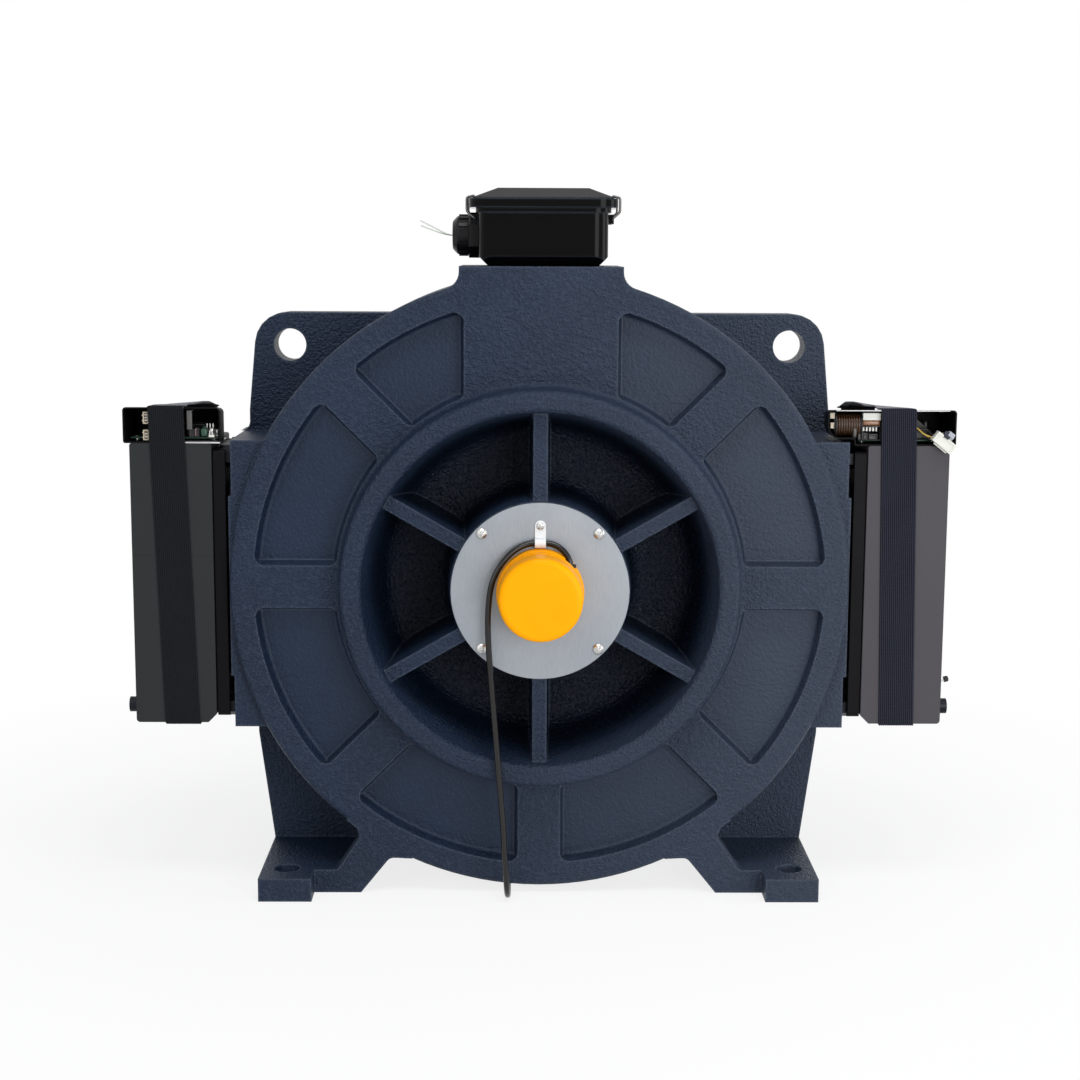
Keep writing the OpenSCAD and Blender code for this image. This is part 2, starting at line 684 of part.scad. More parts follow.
module rotor_drum() {
    in_r = drum_r - drum_wall;
    color([0.42, 0.43, 0.45]) difference() {
        about_shaft() polygon(rounded([
            [rotor_seat_r + fit, web_d - 3, 0], [rotor_hub_r + 8, web_d - 3, 3], [rotor_hub_r + 14, web_d, 3],
            [in_r, web_d, 8], [in_r, drum_front, 1], [drum_r, drum_front, 2], [drum_r, web_end, 3],
            [rotor_hub_r, web_end, 0], [rotor_hub_r, rotor_hub_end, 1.5],
            [rotor_seat_r + fit, rotor_hub_end, 0]], 4));
        for (i = [0:sheave_bolt_count - 1])
            on_shaft(web_d - eps, i * 360 / sheave_bolt_count) translate([sheave_bolt_circle, 0, 0])
                cylinder(h = web_t + 2 * eps, r = 8 + fit);
        for (i = [0:7])
            on_shaft(web_d - eps, 22.5 + i * 45) translate([(rim_inner + drum_r) / 2 - 26, 0, 0])
                cylinder(h = web_t + 2 * eps, r = 16);
        translate([-key_w / 2 - fit, front_y + web_d - 5, shaft_h + rotor_seat_r - key_h / 2])
            cube([key_w + 2 * fit, rotor_hub_end - web_d + 10, key_h + fit]);
    }
}

module main_shaft() {
    color(bright_steel) difference() {
        about_shaft() polygon([
            [0, rear_bearing_d - 8], [rear_seat_r - 1.5, rear_bearing_d - 8],
            [rear_seat_r, rear_bearing_d - 6.5],
            [rear_seat_r, rear_bearing_end], [main_seat_r - 1, rear_bearing_end],
            [main_seat_r - 1, main_bearing_d], [main_seat_r, main_bearing_d], [main_seat_r, main_bearing_end],
            [rotor_seat_r + 2, main_bearing_end], [rotor_seat_r + 2, web_d - 3], [rotor_seat_r, web_d - 3],
            [rotor_seat_r, shaft_end - 2], [rotor_seat_r - 2, shaft_end], [0, shaft_end]]);
        on_shaft(rear_bearing_d - 9) cylinder(h = 30, r = spindle_r + fit);
        for (a = [30:120:270])
            on_shaft(shaft_end - 26, a) translate([end_bolt_circle, 0, 0])
                cylinder(h = 27, r = 6 + fit, $fn = 32);
        translate([-key_w / 2 - fit, front_y + web_d + 2 - fit, shaft_h + rotor_seat_r - key_h / 2])
            cube([key_w + 2 * fit, key_len + 2 * fit, key_h]);
    }
}

module rotor_key() {
    color(bright_steel) translate([-key_w / 2, front_y + web_d + 2, shaft_h + rotor_seat_r - key_h / 2 + fit])
        cube([key_w, key_len, key_h - 2 * fit]);
}

module shaft_end_plate() {
    color(brake_grey) difference() {
        on_shaft(rotor_hub_end) cylinder(h = end_plate_t, r = rotor_hub_r - 4);
        for (a = [30:120:270])
            on_shaft(rotor_hub_end - eps, a) translate([end_bolt_circle, 0, 0])
                cylinder(h = end_plate_t + 2 * eps, r = 6.5, $fn = 32);
    }
}

// ---- sheave ----

module rope_groove(d) {
    r = rope_d / 2 + 0.2;
    translate([sheave_r - r - 1.5, d]) circle(r, $fn = 48);
    translate([sheave_r - r - 1.5, d - r]) square([r + 3, 2 * r]);
    translate([sheave_r - 2 * r - 4, d - 1.5]) square([r, 3]);
}

module traction_sheave() {
    color([0.45, 0.46, 0.47]) difference() {
        about_shaft() difference() {
            polygon(rounded([
                [rotor_hub_r + fit, web_end, 0], [rim_inner + 14, web_end, 3],
                [rim_inner + 18, rim_start, 4], [sheave_r, rim_start, 1],
                [sheave_r, rim_start + rim_w_total, 1], [rim_inner + 4, rim_start + rim_w_total, 1.5],
                [rim_inner, web_end + sheave_web_t, 8], [rotor_hub_r + fit, web_end + sheave_web_t, 0]], 4));
            for (i = [0:grooves - 1])
                rope_groove(rim_start + sheave_lip + groove_pitch * (i + 0.5));
        }
        for (i = [0:sheave_bolt_count - 1])
            on_shaft(web_end - eps, i * 360 / sheave_bolt_count) translate([sheave_bolt_circle, 0, 0])
                cylinder(h = sheave_web_t + 2 * eps, r = 8.5);
        for (i = [0:sheave_bolt_count - 1])
            on_shaft(web_end - eps, (i + 0.5) * 360 / sheave_bolt_count) translate([sheave_hole_circle, 0, 0])
                cylinder(h = sheave_web_t + 2 * eps, r = 15);
    }
}

// The bolts that clamp the sheave to the rotor web, and the ones that hold the end plate
module rotor_bolts() {
    head_d = web_end + sheave_web_t;
    plate_end = rotor_hub_end + end_plate_t;
    color(bright_steel) {
        for (i = [0:sheave_bolt_count - 1])
            on_shaft(0, i * 360 / sheave_bolt_count) translate([sheave_bolt_circle, 0, 0]) {
                translate([0, 0, web_d + 1]) cylinder(h = head_d - web_d - 1, r = 8);
                translate([0, 0, head_d]) cylinder(h = 10, d = 24 / cos(30), $fn = 6);
            }
        for (a = [30:120:270])
            on_shaft(0, a) translate([end_bolt_circle, 0, 0]) {
                translate([0, 0, shaft_end - 22]) cylinder(h = plate_end - shaft_end + 22, r = 6, $fn = 32);
                translate([0, 0, plate_end]) cylinder(h = 7.5, d = 19 / cos(30), $fn = 6);
            }
    }
}

// ---- encoder ----

module encoder_plate() {
    color(zinc) difference() {
        on_shaft(plate_d) cylinder(h = encoder_plate_t, r = encoder_plate_r, $fn = 128);
        on_shaft(plate_d - eps) cylinder(h = encoder_plate_t + 2 * eps, r = encoder_bore_r);
        for (a = [45:90:315])
            on_shaft(plate_d - eps, a) translate([screw_circle, 0, 0])
                cylinder(h = encoder_plate_t + 2 * eps, r = 2.75, $fn = 32);
        across(plate_d - eps, encoder_plate_t + 2 * eps)
            translate([0, clip_z + clip_reach]) circle(2 + fit, $fn = 32);
    }
}

// A pan-head screw with a cross recess, its head's seat at local zero and its shank towards +Z
module pan_screw(r, head_r, len) {
    difference() {
        union() {
            cylinder(h = len, r = r, $fn = 32);
            rotate_extrude() intersection() {
                translate([0, -head_r * 0.7]) square([head_r, head_r * 0.7]);
                translate([0, head_r * 0.62]) circle(head_r * 1.32);
            }
        }
        for (a = [0, 90]) rotate([0, 0, a]) translate([-head_r * 0.55, -head_r * 0.12, -head_r])
            cube([head_r * 1.1, head_r * 0.24, head_r * 0.75]);
    }
}

// The four screws of the plate and the smaller one of the cable clip
module encoder_screws() {
    color(bright_steel) {
        for (a = [45:90:315])
            on_shaft(plate_d, a) translate([screw_circle, 0, 0]) pan_screw(2.5, 4.4, 13);
        translate([0, 0, clip_z + clip_reach]) on_shaft(plate_d - clip_t) pan_screw(2, 3.2, 4.2);
    }
}

module encoder_body() {
    color([0.5, 0.52, 0.54]) about_shaft() polygon(rounded([
        [spindle_r + 0.5, plate_d + 2, 0], [encoder_bore_r - fit, plate_d + 2, 0],
        [encoder_bore_r - fit, plate_d, 0], [collar_r - 7, plate_d, 0], [collar_r - 7, cap_back + 4, 0],
        [cap_r - 8, cap_back + 2, 0], [cap_r - 8, cap_front + 9, 2],
        [spindle_r + 0.5, cap_front + 9, 0]]));
}

module encoder_spindle() {
    color(bright_steel) on_shaft(cap_front + 12)
        cylinder(h = rear_bearing_d + 18 - cap_front - 12, r = spindle_r);
}

module encoder_collar() {
    color(encoder_yellow) difference() {
        about_shaft() polygon(rounded([
            [collar_r - 6.5, plate_d, 0], [collar_r, plate_d, 0.8], [collar_r, plate_d - 5, 0.8],
            [collar_r - 1.6, plate_d - 5.6, 0], [collar_r - 1.6, plate_d - 8, 0],
            [collar_r - 0.2, plate_d - 8.6, 0.6], [collar_r - 0.2, plate_d - 12, 0.6],
            [collar_r - 1.8, plate_d - 12.6, 0], [collar_r - 1.8, plate_d - 15, 0],
            [collar_r - 0.8, plate_d - 15.6, 0], [collar_r - 0.8, plate_d - collar_len, 0.5],
            [collar_r - 6.5, plate_d - collar_len, 0]], 3));
        // the grommet's seat, wider above it
        translate([exit_x, front_y + exit_d, shaft_h + 2]) cylinder(h = 24, r = grommet_r + fit, $fn = 48);
        translate([exit_x, front_y + exit_d, shaft_h + exit_z + 3.5])
            cylinder(h = 20, r = grommet_r + 1, $fn = 48);
    }
}

module encoder_cap() {
    color(encoder_yellow) about_shaft() polygon(rounded([
        [0, cap_front, 0], [cap_r, cap_front, 5], [cap_r + 0.6, cap_back, 0.6],
        [cap_r - cap_wall, cap_back, 0], [cap_r - cap_wall, cap_front + cap_wall, 3],
        [0, cap_front + cap_wall, 0]], 6));
}

module cable_grommet() {
    foot_z = 9;
    color(black_plastic) difference() {
        translate([exit_x, front_y + exit_d, shaft_h + foot_z])
            cylinder(h = exit_z + 3.5 - foot_z, r = grommet_r, $fn = 48);
        translate([exit_x, front_y + exit_d, shaft_h]) cylinder(h = exit_z + eps, r = cable_r + fit, $fn = 48);
        // flared where the cable starts to bend
        translate([exit_x, front_y + exit_d, shaft_h + exit_z])
            cylinder(h = 4, r1 = cable_r + 0.15, r2 = cable_r + 1.2, $fn = 48);
        on_shaft(exit_d - 8) cylinder(h = 16, r = collar_r - 6.4);
    }
}

module cable_clip() {
    color([0.92, 0.93, 0.93]) difference() {
        union() {
            // the strap on the plate, up to its round end at the screw
            across(plate_d - clip_t, clip_t) {
                translate([-clip_w / 2, clip_z + cable_r]) square([clip_w, clip_reach - cable_r]);
                translate([0, clip_z + clip_reach]) circle(clip_w / 2, $fn = 48);
            }
            along(-clip_w / 2, clip_w) translate([clip_y, clip_z]) circle(clip_r + clip_t, $fn = 48);
        }
        along(-clip_w, 2 * clip_w) translate([clip_y, clip_z]) circle(clip_r, $fn = 48);
        across(plate_d - 8, 12) translate([0, clip_z + clip_reach]) circle(2.3, $fn = 32);
    }
}

// ---- encoder cable ----

function way(points, i) = unit(points[min(i + 1, len(points) - 1)] - points[max(i - 1, 0)]);

// Carries the first ring's axis along the route, so that the tube doesn't twist
function carried_axes(dirs, i, done) =
    i == len(dirs) - 1 ? done :
    let (t = dirs[i + 1], u = done[i], w = unit(u - t * (t * u)))
    carried_axes(dirs, i + 1, concat(done, [w]));

// The points with each corner turned into a bend that starts r before it
function bent(points, r) = concat([points[0]],
    [for (i = [1:len(points) - 2], t = [0, 0.5, 1])
        let (p = points[i], a = p + r * unit(points[i - 1] - p), b = p + r * unit(points[i + 1] - p))
        (1 - t) * (1 - t) * a + 2 * t * (1 - t) * p + t * t * b],
    [points[len(points) - 1]]);

// A round tube along a list of points
module swept_tube(points, r, sides = 8) {
    n = len(points);
    dirs = [for (i = [0:n - 1]) way(points, i)];
    axes = carried_axes(dirs, 0, [unit(cross(dirs[0], [0.2, 0.3, 1]))]);
    rings = [for (i = [0:n - 1], k = [0:sides - 1])
        let (u = axes[i], v = cross(dirs[i], u), a = 360 * k / sides)
        points[i] + r * (cos(a) * u + sin(a) * v)];
    walls = [for (i = [0:n - 2], k = [0:sides - 1])
        let (k2 = (k + 1) % sides)
        [i * sides + k, i * sides + k2, (i + 1) * sides + k2, (i + 1) * sides + k]];
    first = [for (k = [sides - 1:-1:0]) k];
    last = [for (k = [0:sides - 1]) (n - 1) * sides + k];
    polyhedron(rings, concat([first], walls, [last]));
}

module encoder_cable() {
    color(black_plastic) swept_tube(route_points, cable_r);
}

module cable_coil() {
    color(black_plastic) translate([coil_x, front_y + coil_d, 0])
        rotate_extrude() round_rect(coil_in, coil_out, 0, coil_h, 2.4);
}

// The plug on the cable's end: a hood with its metal shell, lying against the coil
module encoder_plug() {
    color(black_plastic) translate([plug_x, plug_y, 0]) {
        linear_extrude(16)
            polygon(rounded([[-8, 0, 0], [8, 0, 0], [16, 12, 3], [16, 34, 1], [-16, 34, 1], [-16, 12, 3]]));
        translate([-12, 33, 3.5]) cube([24, 8, 9]);
    }
}

// ---- terminal box ----

module box_form(grow, z0, z1, round_r, chamfer) {
    half_w = box_w / 2 + grow;
    half_l = box_len / 2 + grow;
    intersection() {
        translate([box_x, front_y + box_mid, shaft_h + z0]) linear_extrude(z1 - z0)
            round_rect(-half_w, half_w, -half_l, half_l, round_r);
        across(box_mid - half_l - 1, 2 * half_l + 2) polygon([
            [box_x - half_w + chamfer, z0], [box_x + half_w - chamfer, z0], [box_x + half_w, z0 + chamfer],
            [box_x + half_w, z1], [box_x - half_w, z1], [box_x - half_w, z0 + chamfer]]);
        along(box_x - half_w - 1, 2 * half_w + 2) polygon([
            [box_mid - half_l + chamfer, z0], [box_mid + half_l - chamfer, z0],
            [box_mid + half_l, z0 + chamfer], [box_mid + half_l, z1], [box_mid - half_l, z1],
            [box_mid - half_l, z0 + chamfer]]);
    }
}

module box_screw_places() {
    for (x = [-1, 1], y = [-1, 1])
        translate([box_x + x * (box_w / 2 - box_screw_in), front_y + box_mid + y * (box_len / 2 - 16),
                   shaft_h + box_z]) children();
}

module terminal_box() {
    color(black_plastic) difference() {
        union() {
            box_form(0, box_z, box_top, box_round, box_chamfer);
            // rim under the lid
            box_form(2.5, box_top - 4, box_top, box_round + 2, 0.01);
            // ears for the bails
            for (side = [-1, 1], y = [-1, 1])
                translate([box_x + side * (box_w / 2 + 1.2) - 4, front_y + box_mid + y * (bail_half - 6) - 2,
                           shaft_h + bail_z - 4]) cube([8, 4, 8]);
        }
        box_form(-box_wall, box_z + box_wall, box_top + eps, box_round - box_wall, box_chamfer - 2);
        cross_rod(gland_x - eps, gland_x + box_wall + 2 * eps, box_mid, gland_z, 12.5 + fit);
        for (side = [-1, 1])
            translate([box_x + side * bail_x, front_y + box_mid - 30, shaft_h + bail_z])
                rotate([-90, 0, 0]) cylinder(h = 60, r = bail_wire + fit, $fn = 32);
        translate([box_x, front_y + box_mid, shaft_h + box_z - eps]) cylinder(h = box_wall + 2 * eps, r = 15);
        box_screw_places() translate([0, 0, -eps]) cylinder(h = box_wall + 2 * eps, r = 2.75, $fn = 32);
    }
}

// A low roof's outline: upright to z1, then sloped in to z2
module crown(half, slope, z0, z1, z2) {
    polygon([[-half, z0], [half, z0], [half, z1], [half - slope, z2], [slope - half, z2], [-half, z1]]);
}

module box_lid() {
    z0 = box_top;
    z1 = box_top + lid_flange;
    z2 = z1 + lid_crown;
    half_w = box_w / 2 + lid_over;
    half_l = box_len / 2 + lid_over - 1;
    slope = 20;
    color(black_plastic) difference() {
        union() {
            translate([box_x, front_y + box_mid, shaft_h + z0]) linear_extrude(lid_flange)
                round_rect(-half_w, half_w, -half_l, half_l, box_round + 4);
            intersection() {
                across(box_mid - half_l, 2 * half_l)
                    translate([box_x, 0]) crown(half_w - 4, slope, z1 - 1, z1 + 1, z2);
                along(box_x - half_w, 2 * half_w)
                    translate([box_mid, 0]) crown(half_l - 4, slope, z1 - 1, z1 + 1, z2);
            }
        }
        // hollow under the crown
        intersection() {
            across(box_mid - half_l, 2 * half_l)
                translate([box_x, 0]) crown(box_w / 2 - 6, slope - 4, z0 - 1, z1 - 2, z2 - box_wall);
            along(box_x - half_w, 2 * half_w)
                translate([box_mid, 0]) crown(box_len / 2 - 6, slope - 4, z0 - 1, z1 - 2, z2 - box_wall);
        }
    }
}

// A sprung wire bail: its ends turn in the box's ears and its hook snaps over the lid's edge
module lid_bail(side) {
    half_w = box_w / 2 + lid_over;
    arm_x = half_w + 2 * bail_wire;
    hook_x = half_w - 3.4;
    top_z = box_top + lid_flange;
    half_wire = [[bail_x, bail_half - 7, bail_z], [bail_x, bail_half, bail_z],
                 [arm_x, bail_half, bail_z + 6], [arm_x, bail_half, top_z + bail_wire],
                 [hook_x, bail_half, top_z + 2.4]];
    other_half = [for (i = [len(half_wire) - 1:-1:0]) [half_wire[i].x, -half_wire[i].y, half_wire[i].z]];
    color(bright_steel) translate([box_x, front_y + box_mid, shaft_h]) on_side(side)
        swept_tube(bent(concat(half_wire, other_half), 1.6), bail_wire);
}

module left_lid_bail() lid_bail(-1);
module right_lid_bail() lid_bail(1);

module terminal_block() {
    ways = 5;
    way_w = (box_w - 2 * box_screw_in - 13) / ways;
    half = ways * way_w / 2;
    mid_y = 23;
    translate([box_x, front_y + box_mid + mid_y, shaft_h + box_z + box_wall]) {
        color([0.80, 0.78, 0.70]) difference() {
            union() {
                translate([-half, -9, 0]) cube([2 * half, 18, 12]);
                for (i = [0:ways]) translate([-half - 0.75 + way_w * i, -10, 0]) cube([1.5, 20, 17]);
            }
            for (i = [0:ways - 1])
                translate([way_w * (i + 0.5) - half, 0, 6]) cylinder(h = 8, r = 2.5 + fit, $fn = 32);
        }
        color([0.75, 0.60, 0.28]) for (i = [0:ways - 1])
            translate([way_w * (i + 0.5) - half, 0, 6]) {
                cylinder(h = 16, r = 2.5, $fn = 32);
                translate([0, 0, 6.1]) cylinder(h = 4, d = 8 / cos(30), $fn = 6);
            }
    }
}

module box_screws() {
    color(bright_steel) box_screw_places()
        translate([0, 0, box_wall]) mirror([0, 0, 1]) pan_screw(2.5, 4.4, 12);
}

module gland_body() {
    color(black_plastic) difference() {
        union() {
            cross_rod(gland_x - 9, gland_x, box_mid, gland_z, (gland_r - 1) / cos(30), 6);
            cross_rod(gland_x - 14, gland_x - 8.9, box_mid, gland_z, 12);
            cross_rod(gland_x - 0.1, gland_x + box_wall + 8, box_mid, gland_z, 12.5);
            cross_rod(gland_x + box_wall, gland_x + box_wall + 5, box_mid, gland_z, 16 / cos(30), 6);
        }
        cross_rod(gland_x - 20, gland_x + 20, box_mid, gland_z, 8);
    }
}

// The ribbed dome nut, whose seal has a hole for each wire
module gland_nut() {
    ribs = 12;
    color(black_plastic) translate([gland_x - 9.3, front_y + box_mid, shaft_h + gland_z]) rotate([0, -90, 0])
        difference() {
            union() {
                rotate_extrude() polygon(rounded([
                    [0, 0, 0], [gland_r - 1.2, 0, 0], [gland_r - 1.2, 9, 3], [gland_r - 6, 13.5, 3],
                    [0, 13.5, 0]]));
                for (i = [0:ribs - 1]) rotate([0, 0, i * 360 / ribs])
                    translate([gland_r - 3, -1.6, 0]) cube([3, 3.2, 8]);
            }
            translate([0, 0, -eps]) cylinder(h = 5.7 + eps, r = 12 + fit);
            translate([0, 0, 9]) cylinder(h = 20, r = 4.5);
            for (y = [-1, 1]) translate([0, y * wire_y, 0]) cylinder(h = 20, r = wire_r + fit, $fn = 24);
        }
}

// Two thin sensor wires out of the gland, bared for connection
module sensor_wires() {
    color([0.75, 0.82, 0.72]) translate([gland_x, front_y + box_mid, shaft_h + gland_z]) {
        swept_tube([[6, wire_y, 0], [-24, wire_y, 0], [-30, 1.6, 1], [-38, 1.8, 3.5], [-50, 2, 8]],
                   wire_r, 6);
        swept_tube([[6, -wire_y, 0], [-24, -wire_y, 0], [-30, -1.8, 2], [-38, -2.6, 6], [-50, -4, 12]],
                   wire_r, 6);
    }
}

// ---- brakes ----

module brake_bolt_places() {
    for (d = [-1, 1], z = [-1, 1])
        translate([0, front_y + brake_mid + d * bolt_pitch / 2, shaft_h + z * bolt_z])
            rotate([0, 90, 0]) children();
}

module brake_magnet(side) {
    color(brake_grey) on_side(side) difference() {
        across(magnet_d, magnet_len) polygon(rounded([
            [magnet_x, magnet_z, 2], [magnet_out, magnet_z, 2], [magnet_out, -magnet_z, 3],
            [magnet_x + 7, -magnet_z, 1], [magnet_x, -magnet_z + 7, 1]]));
        for (z = [-coil_z, coil_z]) {
            difference() {
                cross_rod(magnet_x - eps, magnet_x + coil_len + 1, brake_mid, z, coil_r);
                cross_rod(magnet_x - 2 * eps, magnet_x + coil_len + 2, brake_mid, z, pole_r);
            }
            cross_rod(magnet_x - eps, magnet_x + spring_pocket, brake_mid, z, spring_bore_r);
        }
        for (d = [-1, 1])
            cross_rod(magnet_x - eps, magnet_x + 25, brake_mid + d * guide_pitch / 2, 0, guide_r + fit);
        brake_bolt_places() translate([0, 0, magnet_x - eps])
            cylinder(h = magnet_w + 2 * eps, r = bolt_r + 0.5, $fn = 48);
        // the upper bolts' heads are sunk
        for (d = [-1, 1])
            cross_rod(magnet_out - bolt_head_h - 1, magnet_out + eps, brake_mid + d * bolt_pitch / 2,
                      bolt_z, 7.5);
    }
}

module brake_coils(side) {
    color([0.55, 0.25, 0.12]) on_side(side) for (z = [-coil_z, coil_z]) difference() {
        cross_rod(magnet_x + 1, magnet_x + coil_len, brake_mid, z, coil_r - seat_gap);
        cross_rod(magnet_x - eps, magnet_x + coil_len + eps, brake_mid, z, pole_r + seat_gap);
    }
}

// A compression spring: a swept round wire along a helix between two flat ends
module brake_spring(len) {
    steps = 10 * spring_turns;
    sides = 6;
    mid = spring_r - spring_wire / 2;
    rise = len - spring_wire;
    points = [for (i = [0:steps], k = [0:sides - 1])
        let (a = 360 * spring_turns * i / steps, b = 360 * k / sides,
             r = mid + spring_wire / 2 * cos(b))
        [r * cos(a), r * sin(a), spring_wire / 2 + rise * i / steps + spring_wire / 2 * sin(b)]];
    walls = [for (i = [0:steps - 1], k = [0:sides - 1]) let (k2 = (k + 1) % sides)
        [i * sides + k, (i + 1) * sides + k, (i + 1) * sides + k2, i * sides + k2]];
    polyhedron(points, concat([[for (k = [0:sides - 1]) k]], walls,
                              [[for (k = [sides - 1:-1:0]) steps * sides + k]]));
}

module brake_springs(side) {
    color(bright_steel) on_side(side) for (z = [-coil_z, coil_z])
        translate([magnet_x - 0.1, front_y + brake_mid, shaft_h + z]) rotate([0, 90, 0])
            brake_spring(spring_pocket - 0.2);
}

module brake_guide_pins(side) {
    color(bright_steel) on_side(side) for (d = [-1, 1])
        cross_rod(armature_x + 2, magnet_x + 24, brake_mid + d * guide_pitch / 2, 0, guide_r);
}

module brake_armature(side) {
    half = armature_len / 2;
    color([0.12, 0.12, 0.13]) on_side(side) difference() {
        along(armature_x, armature_t) polygon(rounded([
            [brake_mid - half, -armature_z, 4], [brake_mid + half, -armature_z, 4],
            [brake_mid + half, armature_z, 4], [brake_mid - half, armature_z, 4]]));
        for (d = [-1, 1])
            cross_rod(armature_x - eps, armature_x + armature_t + eps, brake_mid + d * guide_pitch / 2, 0,
                      guide_r + fit);
        // notches for the sleeves
        brake_bolt_places() translate([0, 0, armature_x - eps])
            cylinder(h = armature_t + 2 * eps, r = sleeve_af / 2 + 2.2);
    }
}

// The shoe on the armature, with its lining bonded on
module brake_shoe(side) {
    back_r = drum_r + seat_gap + lining_t;
    color([0.30, 0.31, 0.33]) on_side(side) across(brake_mid - lining_w / 2, lining_w) difference() {
        translate([drum_r - 40, -shoe_z]) square([armature_x - drum_r + 40, 2 * shoe_z]);
        circle(back_r);
    }
    color([0.35, 0.28, 0.22]) on_side(side) across(brake_mid - lining_w / 2 + 1, lining_w - 2)
        intersection() {
            difference() {
                circle(back_r - 0.02);
                circle(drum_r + seat_gap);
            }
            translate([drum_r - 40, -shoe_z + 2]) square([60, 2 * shoe_z - 4]);
        }
}

module brake_sleeves(side) {
    hex_len = sleeve_len - 5;
    color(bright_steel) on_side(side) brake_bolt_places() difference() {
        union() {
            translate([0, 0, block_x]) cylinder(h = hex_len, d = sleeve_af / cos(30), $fn = 6);
            translate([0, 0, block_x + hex_len - 0.1])
                cylinder(h = sleeve_len - hex_len + 0.1, r = sleeve_af / 2 - 1.2, $fn = 48);
        }
        translate([0, 0, block_x - eps]) cylinder(h = sleeve_len + 2 * eps, r = bolt_r + 0.3, $fn = 48);
    }
}

module brake_bolts(side) {
    color([0.10, 0.10, 0.11]) on_side(side) for (d = [-1, 1], z = [-1, 1])
        translate([0, front_y + brake_mid + d * bolt_pitch / 2, shaft_h + z * bolt_z]) rotate([0, 90, 0])
            difference() {
                seat = z > 0 ? magnet_out - bolt_head_h - 1 : magnet_out;
                union() {
                    translate([0, 0, block_x - bolt_grip])
                        cylinder(h = seat - block_x + bolt_grip, r = bolt_r, $fn = 48);
                    translate([0, 0, seat]) cylinder(h = bolt_head_h, r = bolt_head_r, $fn = 48);
                }
                translate([0, 0, seat + bolt_head_h - 4]) cylinder(h = 5, d = 6 / cos(30), $fn = 6);
            }
}

// The space inside a cover's outer faces, moved in by t: open below the roof, which falls
// towards the back, and stepped up over the mounting block where the cover reaches over it
module cover_form(x0, t) {
    x1 = magnet_out + cover_over;
    out = t > 0 ? eps : 0;
    low_r = 11;
    intersection() {
        translate([0, front_y + magnet_d, shaft_h + cover_top]) rotate([-roof_fall, 0, 0])
            translate([0, cover_len + 5, -cover_h]) rotate([90, 0, 0]) linear_extrude(cover_len + 10)
                round_rect(x0 + t, x1 - t, -20, cover_h - t, 6 - t);
        across(magnet_d - out, cover_len - t + out) polygon(concat(
            [[x1 + 2, magnet_z + t], [x1 + 2, cover_top + 5], [x0 - 2, cover_top + 5]],
            x0 < block_x ?
                concat([[x0 - 2, cover_step_z + low_r - 0.5]],
                       [for (a = [185:17:270]) [x0 + low_r, cover_step_z + low_r]
                                               + (low_r - t) * [cos(a), sin(a)]],
                       [[cover_step_x + t, cover_step_z + t], [cover_step_x + t, magnet_z + t]]) :
                [[x0 - 2, magnet_z + t]]));
    }
}

// The sheet cover over the brake's circuit board, open at the front
module brake_cover(side, x0) {
    color(black_plastic) on_side(side) difference() {
        cover_form(x0, 0);
        cover_form(x0, cover_t);
    }
}

// The board on four short pillars, with blocks as [x, depth, width, length, height] and
// round parts as [x, depth, radius, height], x from the board's inner edge and depth from its front
module circuit_board(side, x0, blocks, rounds) {
    w = magnet_out - 3 - x0;
    top = pillar_h + board_t;
    first_pillar = max(5, cover_step_x + 6 - x0);
    on_side(side) translate([x0, front_y + magnet_d + board_d, shaft_h + magnet_z + cover_t]) {
        color([0.10, 0.30, 0.18]) {
            translate([0, 0, pillar_h]) cube([w, board_len, board_t]);
            for (x = [first_pillar, w - 5], y = [5, board_len - 5])
                translate([x, y, 0]) cylinder(h = pillar_h + 0.1, r = 2.5, $fn = 32);
        }
        color([0.80, 0.78, 0.70]) for (b = blocks)
            translate([b[0], b[1], top - 0.1]) cube([b[2], b[3], b[4]]);
        color([0.20, 0.20, 0.22]) for (c = rounds)
            translate([c[0], c[1], top - 0.1]) cylinder(h = c[3], r = c[2], $fn = 48);
    }
}

// The strap round the magnet and its cover, drawn over the cover's back edge
module brake_strap(side, x) {
    back = magnet_d + magnet_len + seat_gap;
    eave_z = cover_top - cover_len * tan(roof_fall) + seat_gap;
    loop = [[magnet_d - seat_gap, -magnet_z - seat_gap], [magnet_d - seat_gap, cover_top + seat_gap],
            [magnet_d + cover_len + seat_gap, eave_z], [back, magnet_z + seat_gap],
            [back, -magnet_z - seat_gap]];
    color([0.08, 0.09, 0.14]) on_side(side) along(x - strap_w / 2, strap_w) difference() {
        polygon(all_round(grown(loop, strap_t), strap_t));
        polygon(all_round(loop, 0.5));
    }
}

module left_magnet() brake_magnet(-1);
module left_coils() brake_coils(-1);
module left_springs() brake_springs(-1);
module left_guide_pins() brake_guide_pins(-1);
module left_armature() brake_armature(-1);
module left_brake_shoe() brake_shoe(-1);
module left_sleeves() brake_sleeves(-1);
module left_bolts() brake_bolts(-1);
module left_cover() brake_cover(-1, left_cover_x);
module left_circuit_board() circuit_board(-1, left_cover_x + 8,
    [[48, 1, 7, 9, 14], [38, 2, 8, 8, 10], [28, 4, 8, 10, 13], [17, 3, 9, 10, 13], [2, 2, 13, 9, 10],
     [2, 14, 12, 14, 11], [18, 16, 18, 13, 11], [40, 14, 16, 16, 11], [8, 34, 44, 10, 9]],
    [[58, 38, 4, 9]]);
module left_strap() brake_strap(-1, left_strap_x);
module right_magnet() brake_magnet(1);
module right_coils() brake_coils(1);
module right_springs() brake_springs(1);
module right_guide_pins() brake_guide_pins(1);
module right_armature() brake_armature(1);
module right_brake_shoe() brake_shoe(1);
module right_sleeves() brake_sleeves(1);
module right_bolts() brake_bolts(1);
module right_cover() brake_cover(1, right_cover_x);
